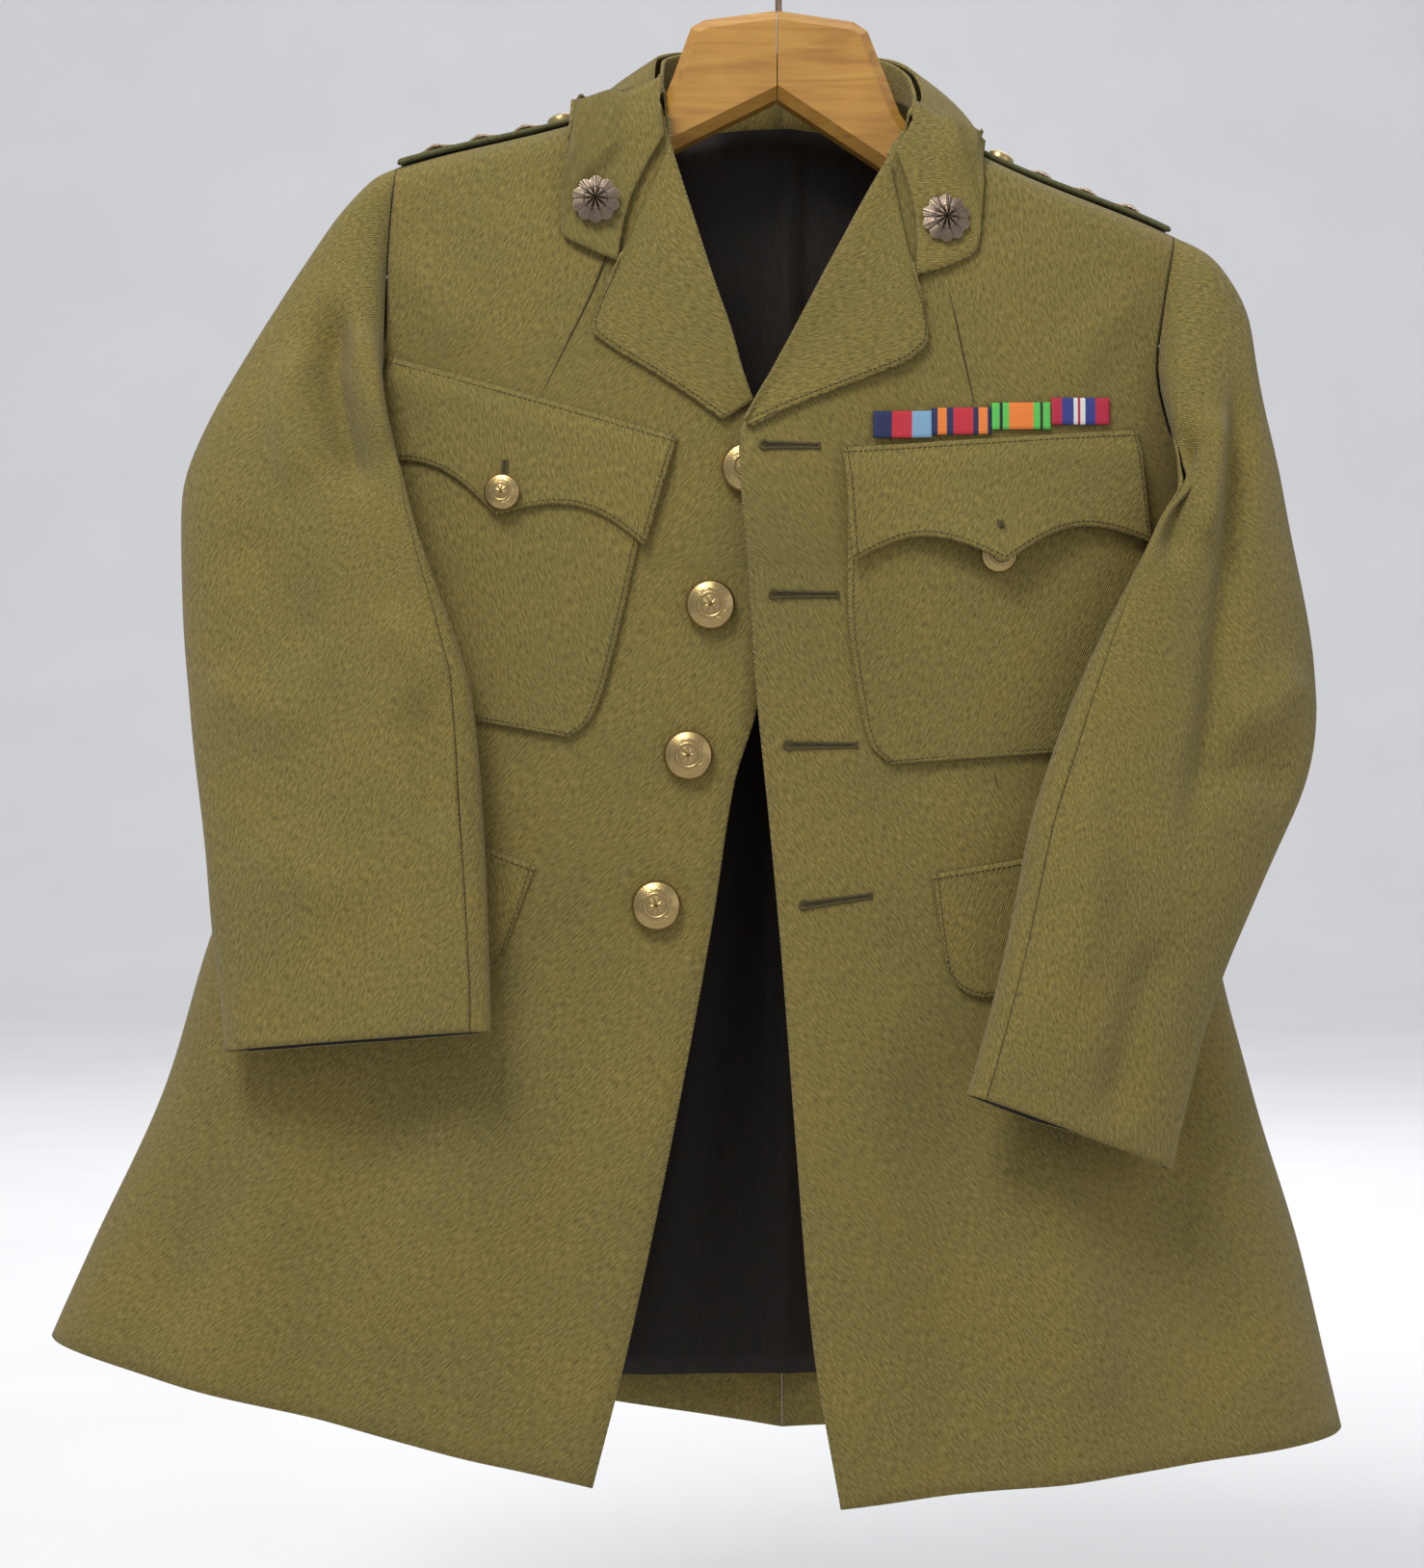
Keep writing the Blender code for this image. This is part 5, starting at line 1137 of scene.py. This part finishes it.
for side in ("left", "right"):
    gap = math.radians(0.35)
    seam = (("top", 0),)
    top = sleeve_grid(side, HIND_SEAM + gap, 2 * math.pi + FRONT_SEAM - gap, 60, 84)
    under = sleeve_grid(side, FRONT_SEAM + gap, HIND_SEAM - gap, 56, 84)
    piece = shell("cloth_sleeve_top_" + side, top, (0, -1, 0), KHAKI, LINING,
                  creases=SLEEVE_CREASES[side], swell=0.0010, seed=17, square=seam, spare=True)
    as_sheet("sleeve_top_" + side)
    piece = shell("cloth_sleeve_under_" + side, under, (0, 1, 0), KHAKI, LINING, thickness=UNDER_CLOTH,
                  swell=0.0006, seed=19, square=seam, spare=True, inner_from=0.7)
    as_sheet("sleeve_under_" + side)

# ---- pockets, flaps and straps ------------------------------------------------------
for side in ("left", "right"):
    lay = LAY + CLOTH
    patch = []
    for inner_x, inner_z, outer_x, outer_z in rows_of(PATCHES[side], 40):
        patch.append([front_point(side, inner_x + (outer_x - inner_x) * s, inner_z + (outer_z - inner_z) * s,
                                  lay + 0.0005) for s in np.linspace(0, 1, 40)])
    piece = shell("cloth_pocket_" + side, patch, (0, -1, 0), KHAKI, swell=0.0005, seed=23)
    as_sheet("chest_pocket_" + side)
    flap = flap_grid(side, CHEST_FLAPS[side], chest_drop,
                     lambda s, t: lay + (lay + 0.0006) * ease(4 * t) + flap_lift(side, s, t), 60, 20)
    piece = shell("cloth_flap_" + side, flap, (0, -1, 0), KHAKI, swell=0.0004, seed=29)
    as_sheet("chest_flap_" + side)
    flap = flap_grid(side, HIP_FLAPS[side], hip_drop, lambda s, t: lay + 0.0008, 40, 18)
    piece = shell("cloth_hip_flap_" + side, flap, (0, -1, 0), KHAKI, swell=0.0004, seed=31)
    as_sheet("hip_flap_" + side)


def strap_grid(side, rows, columns, rise=0.0):
    sign = -1 if side == "left" else 1
    grid = []
    for t in np.linspace(0, 1, rows):
        across = sign * (0.1015 + 0.102 * t)
        across += 0.005 * t if side == "right" else 0.0
        width = (0.80 + 0.20 * t)
        grid.append([strap_point(side, across, over * width, LAY + 0.0005 + STRAP_WALL + rise)
                     for over in np.linspace(-1, 1, columns)])
    return np.array(grid)


for side in ("left", "right"):
    piece = shell("cloth_strap_" + side, strap_grid(side, 40, 18), (0, 0, 1), STRAP, thickness=STRAP_WALL,
                  edge_soft=0.5)
    as_sheet("strap_" + side)

# ---- ribbons ------------------------------------------------------------------------
for k, (x, z) in enumerate(RIBBONS):
    width, height = RIBBON_SIZE
    grid = []
    for t in np.linspace(1, 0, 8):
        grid.append([front_point("right", x + width * s, z + height * t + 0.0006 * s,
                                 LAY + 0.0004 + RIBBON_WALL + 0.0002 * math.sin(math.pi * t))
                     for s in np.linspace(0.0, 0.985, 20)])
    finish = ribbon_material(f"ribbon_{k + 1}", RIBBON_STRIPES[k])
    piece = shell(f"medal_ribbon_{k + 1}", grid, (0, -1, 0), finish, thickness=RIBBON_WALL)
    layer = piece.data.uv_layers["cloth"]
    flat = np.empty(len(layer.data) * 2)
    layer.data.foreach_get("uv", flat)
    flat = flat.reshape(-1, 2)
    flat[:, 0] = (flat[:, 0] - flat[:, 0].min()) / np.ptp(flat[:, 0])
    flat[:, 1] = (flat[:, 1] - flat[:, 1].min()) / np.ptp(flat[:, 0]) * 1.0 / 0.03
    layer.data.foreach_set("uv", flat.ravel())
    as_sheet(f"ribbon_{k + 1}")


# ---- metal fittings -----------------------------------------------------------------
def polar_relief(name, radius, height_at, outline, finish, rings=34, spokes=96, back=0.0005):
    """Disc-like fitting with relief: height_at(share of radius, angle), outline(angle)."""
    vertices, faces = [(0, 0, height_at(0.0, 0.0))], []
    for r in range(1, rings + 1):
        share = r / rings
        for k in range(spokes):
            a = 2 * math.pi * k / spokes
            reach = radius * share * (1 + (outline(a) - 1) * share)
            vertices.append((reach * math.cos(a), reach * math.sin(a), height_at(share, a)))
    for k in range(spokes):
        a = 2 * math.pi * k / spokes
        reach = 0.97 * radius * outline(a)
        vertices.append((reach * math.cos(a), reach * math.sin(a), back))
    vertices.append((0, 0, back))
    ring = lambda r, k: 1 + (r - 1) * spokes + k % spokes
    for k in range(spokes):
        faces.append((0, ring(1, k), ring(1, k + 1)))
        for r in range(1, rings + 1):
            faces.append((ring(r, k), ring(r + 1, k), ring(r + 1, k + 1), ring(r, k + 1)))
        faces.append((len(vertices) - 1, ring(rings + 1, k + 1), ring(rings + 1, k)))
    mesh = bpy.data.meshes.new(name)
    mesh.from_pydata(vertices, [], faces)
    mesh.materials.append(finish)
    mesh.shade_smooth()
    mesh.set_sharp_from_angle(angle=math.radians(50))
    made = bpy.data.objects.new(name, mesh)
    bpy.context.scene.collection.objects.link(made)
    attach(made, "root")
    return made


def place_on(item, point, normal, spin=0.0):
    turn = Vector(normal).to_track_quat("Z", "Y").to_matrix().to_4x4()
    item.data.transform(Matrix.Translation(Vector(point)) @ turn @ Matrix.Rotation(spin, 4, "Z"))


def bump_at(value, centre, half):
    return math.exp(-((value - centre) / half) ** 2)


def button_relief(dome, depth):
    """Domed face with a rope border, a wreath and a small flower in the middle."""
    def height(share, a):
        base = 0.0030 + (dome - 0.0030) * math.sqrt(max(1 - (share * 0.985) ** 2, 0.0))
        rope = bump_at(share, 0.90, 0.035) * (0.6 + 0.4 * math.sin(40 * a + 30 * share))
        wreath = bump_at(share, 0.62, 0.090) * (0.5 + 0.5 * math.sin(22 * a + 14 * (share - 0.62) * 10))
        ringed = bump_at(share, 0.47, 0.025)
        flower = max(0.0, 1 - share / 0.38) * (0.55 + 0.45 * math.cos(6 * a))
        return base + depth * (0.6 * rope + 0.9 * wreath + 0.7 * ringed + 1.3 * flower)
    return height


def star_relief(peak, points, depth):
    def height(share, a):
        ray = abs(math.cos(points * a / 2))
        base = 0.0010 + (peak - 0.0010) * (1 - share) * (0.55 + 0.45 * ray)
        grooves = 0.5 + 0.5 * math.cos(points * 6 * a)
        boss = 1 / (1 + math.exp((share - 0.42) * 60))
        rim = bump_at(share, 0.44, 0.035)
        return base + depth * (0.5 * grooves * (1 - boss) * share + 0.6 * rim) + boss * depth * 0.8
    return height


for k, (x, z) in enumerate(FRONT_BUTTONS):
    piece = polar_relief(f"brass_button_{k + 1}", BUTTON_RADIUS, button_relief(0.0086, 0.00055),
                         lambda a: 1.0, BRASS_FINISH, spokes=120)
    place_on(piece, *front_frame("left", x, z, LAY * 0.6), spin=0.4 * k + 0.2)
    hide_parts(f"button_{k + 1}")
for side in ("left", "right"):
    x, z = CHEST_BUTTONS[side]
    lift = 2 * (LAY + CLOTH) + 0.0004 if side == "left" else LAY + CLOTH
    piece = polar_relief("brass_chest_button_" + side, SMALL_BUTTON_RADIUS, button_relief(0.0064, 0.0004),
                         lambda a: 1.0, BRASS_FINISH)
    place_on(piece, *front_frame(side, x, z, lift + LAY * 0.6 + 0.0003), spin=0.7)
    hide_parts("chest_button_" + side)
    over_strap = LAY + 0.0005 + STRAP_WALL + LAY * 0.6
    piece = polar_relief("brass_strap_button_" + side, 0.0072, button_relief(0.0056, 0.0003), lambda a: 1.0,
                         BRASS_FINISH, rings=24, spokes=72)
    place_on(piece, strap_point(side, STRAP_BUTTONS[side], 0.0, over_strap), (STRAP_TILT[side], 0, 1))
    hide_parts("strap_button_" + side)
    for n, across in enumerate(PIPS[side]):
        piece = polar_relief(f"star_pip_{side}_{n + 1}", 0.0105, star_relief(0.0044, 4, 0.0006),
                             lambda a: 0.66 + 0.34 * abs(math.cos(2 * a)) ** 1.5,
                             PIP_FINISH, rings=24, spokes=96)
        place_on(piece, strap_point(side, across, 0.0, over_strap + 0.0004), (STRAP_TILT[side], 0, 1))
        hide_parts(f"pip_{side}_{n + 1}")
    x, z = BADGES[side]
    piece = polar_relief("collar_badge_" + side, 0.0128, star_relief(0.0052, 10, 0.0007),
                         lambda a: 0.86 + 0.14 * abs(math.cos(5 * a)), BRONZE_FINISH, rings=36, spokes=160)
    point, normal = front_frame(side, x, z, 0.0)
    place_on(piece, point + normal * (BADGE_LIFT[side] + 0.0004), normal, spin=math.pi / 2)
    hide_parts("badge_" + side)


# ---- worked buttonholes, stitches and seams ------------------------------------------
def tube(name, lines, radius, finish, sides=6):
    """One mesh of round threads along lists of points."""
    vertices, faces = [], []
    for line in lines:
        line = np.asarray(line, dtype=float)
        start = len(vertices)
        for k, p in enumerate(line):
            ahead = line[min(k + 1, len(line) - 1)] - line[max(k - 1, 0)]
            ahead = ahead / max(np.linalg.norm(ahead), 1e-9)
            sideways = np.cross(ahead, (0.0, -1.0, 0.0) if abs(ahead[1]) < 0.9 else (1.0, 0.0, 0.0))
            sideways = sideways / max(np.linalg.norm(sideways), 1e-9)
            over = np.cross(sideways, ahead)
            thick = radius * (0.55 if k in (0, len(line) - 1) else 1.0)
            for s in range(sides):
                a = 2 * math.pi * s / sides
                vertices.append(p + thick * (math.cos(a) * sideways + math.sin(a) * over))
        for k in range(len(line) - 1):
            for s in range(sides):
                n = (s + 1) % sides
                a, b = start + k * sides, start + (k + 1) * sides
                faces.append((a + s, a + n, b + n, b + s))
        faces.append(tuple(start + s for s in reversed(range(sides))))
        faces.append(tuple(start + (len(line) - 1) * sides + s for s in range(sides)))
    mesh = bpy.data.meshes.new(name)
    mesh.from_pydata([tuple(map(float, v)) for v in vertices], [], faces)
    mesh.materials.append(finish)
    layer = mesh.uv_layers.new(name="cloth")
    flat = np.array([(vertices[v][0], vertices[v][2]) for face in mesh.polygons for v in face.vertices])
    layer.data.foreach_set("uv", flat.ravel())
    mesh.shade_smooth()
    made = bpy.data.objects.new(name, mesh)
    bpy.context.scene.collection.objects.link(made)
    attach(made, "root")
    return made


def along(line, step):
    """Points spread evenly along a polyline."""
    line = np.asarray(line, dtype=float)
    run = np.concatenate(((0,), np.cumsum(np.linalg.norm(np.diff(line, axis=0), axis=1))))
    count = max(int(run[-1] / step), 2)
    wanted = np.linspace(0, run[-1], count + 1)
    return np.column_stack([np.interp(wanted, run, line[:, k]) for k in range(line.shape[1])])


def stitches(line, length=0.0021, gap=0.0007):
    """Short threads along a line of points."""
    dense = along(line, 0.0007)
    made, per, skip = [], max(int(length / 0.0007), 2), max(int(gap / 0.0007), 1)
    k = 0
    while k + per < len(dense):
        made.append(dense[k:k + per + 1])
        k += per + skip
    return made


BUTTONHOLES = (   # front button holes: eyelet x, z, far end x, z
    (-0.0108, -0.314, 0.0192, -0.314), (-0.0058, -0.391, 0.0287, -0.391),
    (0.0017, -0.469, 0.0387, -0.469), (0.0097, -0.552, 0.0462, -0.547))
slits, borders = [], []
for x0, z0, x1, z1 in BUTTONHOLES:
    start, end = np.array((x0, z0)), np.array((x1, z1))
    way = (end - start) / np.linalg.norm(end - start)
    over = np.array((-way[1], way[0]))
    outline = []
    for k in range(13):
        a = math.pi * (0.25 + 1.5 * k / 12)
        outline.append(start + way * (0.0020 + 0.0022 * math.cos(a)) + over * 0.0022 * math.sin(a))
    loop = [end + over * 0.0010] + outline + [end - over * 0.0010]
    borders.append([front_point("right", p[0], p[1], 0.0004) for p in along(loop, 0.0006)])
    slits.append([front_point("right", *(start + way * d), 0.0002)
                  for d in np.linspace(0.0015, np.linalg.norm(end - start) - 0.0005, 24)])
    bar = along([end + over * 0.0022 + way * 0.0004, end - over * 0.0022 + way * 0.0004], 0.0006)
    borders.append([front_point("right", p[0], p[1], 0.0006) for p in bar])
FLAP_HOLES = {"left": ((-0.1424, -0.3205), (-0.1428, -0.3295)),
              "right": ((0.1106, -0.339), (0.1124, -0.357))}
for side in ("left", "right"):
    (x0, z0), (x1, z1) = FLAP_HOLES[side]
    lay = 2 * (LAY + CLOTH) + 0.0010 + (0.0015 if side == "right" else 0.0)
    rise = 0.006 if side == "right" else 0.0   # the unbuttoned flap stands off further at its lower edge
    for shift, sink, kept in ((-0.0011, 0.0, borders), (0.0011, 0.0, borders), (0.0, 0.0002, slits)):
        kept.append([front_point(side, x0 + (x1 - x0) * t + shift, z0 + (z1 - z0) * t,
                                 lay - sink + rise * t * t) for t in np.linspace(0, 1, 14)])
tube("buttonhole_borders", borders, 0.00085, THREAD)
tube("buttonhole_slits", slits, 0.00065, SEAM_DARK)

SEAMS = {   # darts and body seams: across, height points
    "left": (((-0.0905, -0.212), (-0.100, -0.235), (-0.113, -0.262), (-0.126, -0.288)),
             ((-0.128, -0.486), (-0.126, -0.510), (-0.124, -0.530))),
    "right": (((0.0845, -0.219), (0.090, -0.240), (0.096, -0.268), (0.101, -0.291)),
              ((0.1106, -0.482), (0.1165, -0.505), (0.1216, -0.526)))}
lines = []
for side in ("left", "right"):
    for seam in SEAMS[side]:
        lines.append([front_point(side, x, z, 0.0001) for x, z in along(seam, 0.002)])
tube("dart_seams", lines, 0.00045, SEAM_DARK)

stitched = []


def edge_line(grid, inset, border, lift=0.0003):
    """Line of points a little way in from a grid's border, standing on its outer face."""
    grid = np.asarray(grid)
    normals = facing(grid, (0, -1, 0))
    edges = {"start": (grid[:, 0], grid[:, 1], normals[:, 0]),
             "end": (grid[:, -1], grid[:, -2], normals[:, -1]),
             "top": (grid[0], grid[1], normals[0]),
             "bottom": (grid[-1], grid[-2], normals[-1])}
    rim, within, over = edges[border]
    way = within - rim
    way = way / np.maximum(np.linalg.norm(way, axis=1, keepdims=True), 1e-9)
    return rim + way * inset + over * lift


for side in ("left", "right"):
    lapel = lapel_grid(side, 60, 24)
    stitched.append(edge_line(lapel, 0.0028, "end"))
    flap = flap_grid(side, CHEST_FLAPS[side], chest_drop, lambda s, t: (
        LAY + CLOTH + (LAY + CLOTH + 0.0006) * ease(4 * t) + flap_lift(side, s, t)), 90, 30)
    stitched.append(edge_line(flap, 0.0026, "bottom"))
    stitched.append(edge_line(flap, 0.0030, "top"))
    stitched.append(edge_line(flap, 0.0085, "top", 0.0008))
    stitched.append(edge_line(flap, 0.0026, "start"))
    stitched.append(edge_line(flap, 0.0026, "end"))
    hip = flap_grid(side, HIP_FLAPS[side], hip_drop, lambda s, t: LAY + CLOTH + 0.0008, 60, 24)
    for border in ("bottom", "start", "top"):
        stitched.append(edge_line(hip, 0.0026, border))
    patch = []
    for inner_x, inner_z, outer_x, outer_z in rows_of(PATCHES[side], 50):
        patch.append([front_point(side, inner_x + (outer_x - inner_x) * s, inner_z + (outer_z - inner_z) * s,
                                  LAY + CLOTH + 0.0005) for s in np.linspace(0, 1, 40)])
    for border in ("bottom", "start"):
        stitched.append(edge_line(patch, 0.0026, border))
stitched.append(edge_line(FALL_GRID, 0.0028, "end"))
threads = [thread for line in stitched for thread in stitches(line)]
tube("edge_stitching", threads, 0.00028, THREAD, 4)

# ---- hanger and hook: the CAD shapes, finished --------------------------------------
for name, finish in (("hanger_left", WOOD_FINISH), ("hanger_right", WOOD_FINISH), ("hook", STEEL_FINISH)):
    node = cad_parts[name]
    node.data.materials.clear()
    node.data.materials.append(finish)

# ---- stage --------------------------------------------------------------------------
FLOOR = -1.02


def pale_material(name, light, dark):
    made, tree, shader = nodes_of(name)
    place = add(tree, "ShaderNodeTexCoord")
    cloud = add(tree, "ShaderNodeTexNoise", Scale=3.0, Detail=4.0)
    tree.links.new(place.outputs["Object"], cloud.inputs["Vector"])
    tree.links.new(ramp(tree, cloud.outputs["Fac"], ((0.3, dark), (0.7, light))), shader.inputs["Base Color"])
    shader.inputs["Roughness"].default_value = 0.85
    shader.inputs["Specular IOR Level"].default_value = 0.2
    return made


profile = [(-9.0, FLOOR)] + [(5.5 + 3.0 * math.sin(a), FLOOR + 3.0 * (1 - math.cos(a)))
                             for a in np.linspace(0, math.pi / 2, 16)] + [(8.5, 9.0)]
points, faces = [], []
for y, z in profile:
    points += [(-12.0, y, z), (12.0, y, z)]
for k in range(len(profile) - 1):
    faces.append((2 * k, 2 * k + 1, 2 * k + 3, 2 * k + 2))
sweep = bpy.data.meshes.new("sweep")
sweep.from_pydata(points, [], faces)
sweep.materials.append(pale_material("pale_paper", (0.76, 0.76, 0.765), (0.73, 0.73, 0.735)))
sweep.shade_smooth()
backdrop = bpy.data.objects.new("sweep", sweep)
bpy.context.scene.collection.objects.link(backdrop)


def soft_light(name, spot, aim, size, watts, colour=(1, 1, 1)):
    lamp = bpy.data.lights.new(name, "AREA")
    lamp.shape, lamp.size, lamp.energy, lamp.color = "SQUARE", size, watts, colour
    made = bpy.data.objects.new(name, lamp)
    bpy.context.scene.collection.objects.link(made)
    made.location = spot
    made.rotation_euler = (Vector(aim) - Vector(spot)).to_track_quat("-Z", "Y").to_euler()


soft_light("key", (-0.7, -1.35, 1.45), (0.0, 0.0, -0.50), 0.8, 44, (1.0, 0.985, 0.96))
soft_light("fill", (2.2, -2.2, 0.2), (0.0, 0.0, -0.5), 1.8, 9, (0.96, 0.98, 1.0))
soft_light("wall", (0.0, 1.6, 3.4), (0.0, 7.5, 0.0), 4.0, 150)
soft_light("rear", (0.5, 2.6, 1.4), (0.0, 0.0, -0.4), 2.0, 26)
world = bpy.data.worlds.new("studio")
bpy.context.scene.world = world
world.use_nodes = True
world.node_tree.nodes["Background"].inputs[0].default_value = (0.93, 0.95, 1.0, 1)
world.node_tree.nodes["Background"].inputs[1].default_value = 0.58

camera = bpy.data.cameras.new("camera")
camera.sensor_width = 24.0
camera.lens = 24.0 * 3280 / 1628
eye = bpy.data.objects.new("camera", camera)
bpy.context.scene.collection.objects.link(eye)
eye.location, eye.rotation_euler = (-0.0358, -1.7, -0.489), (math.pi / 2, 0, 0)
bpy.context.scene.camera = eye
bpy.context.scene.view_settings.view_transform = "Standard"
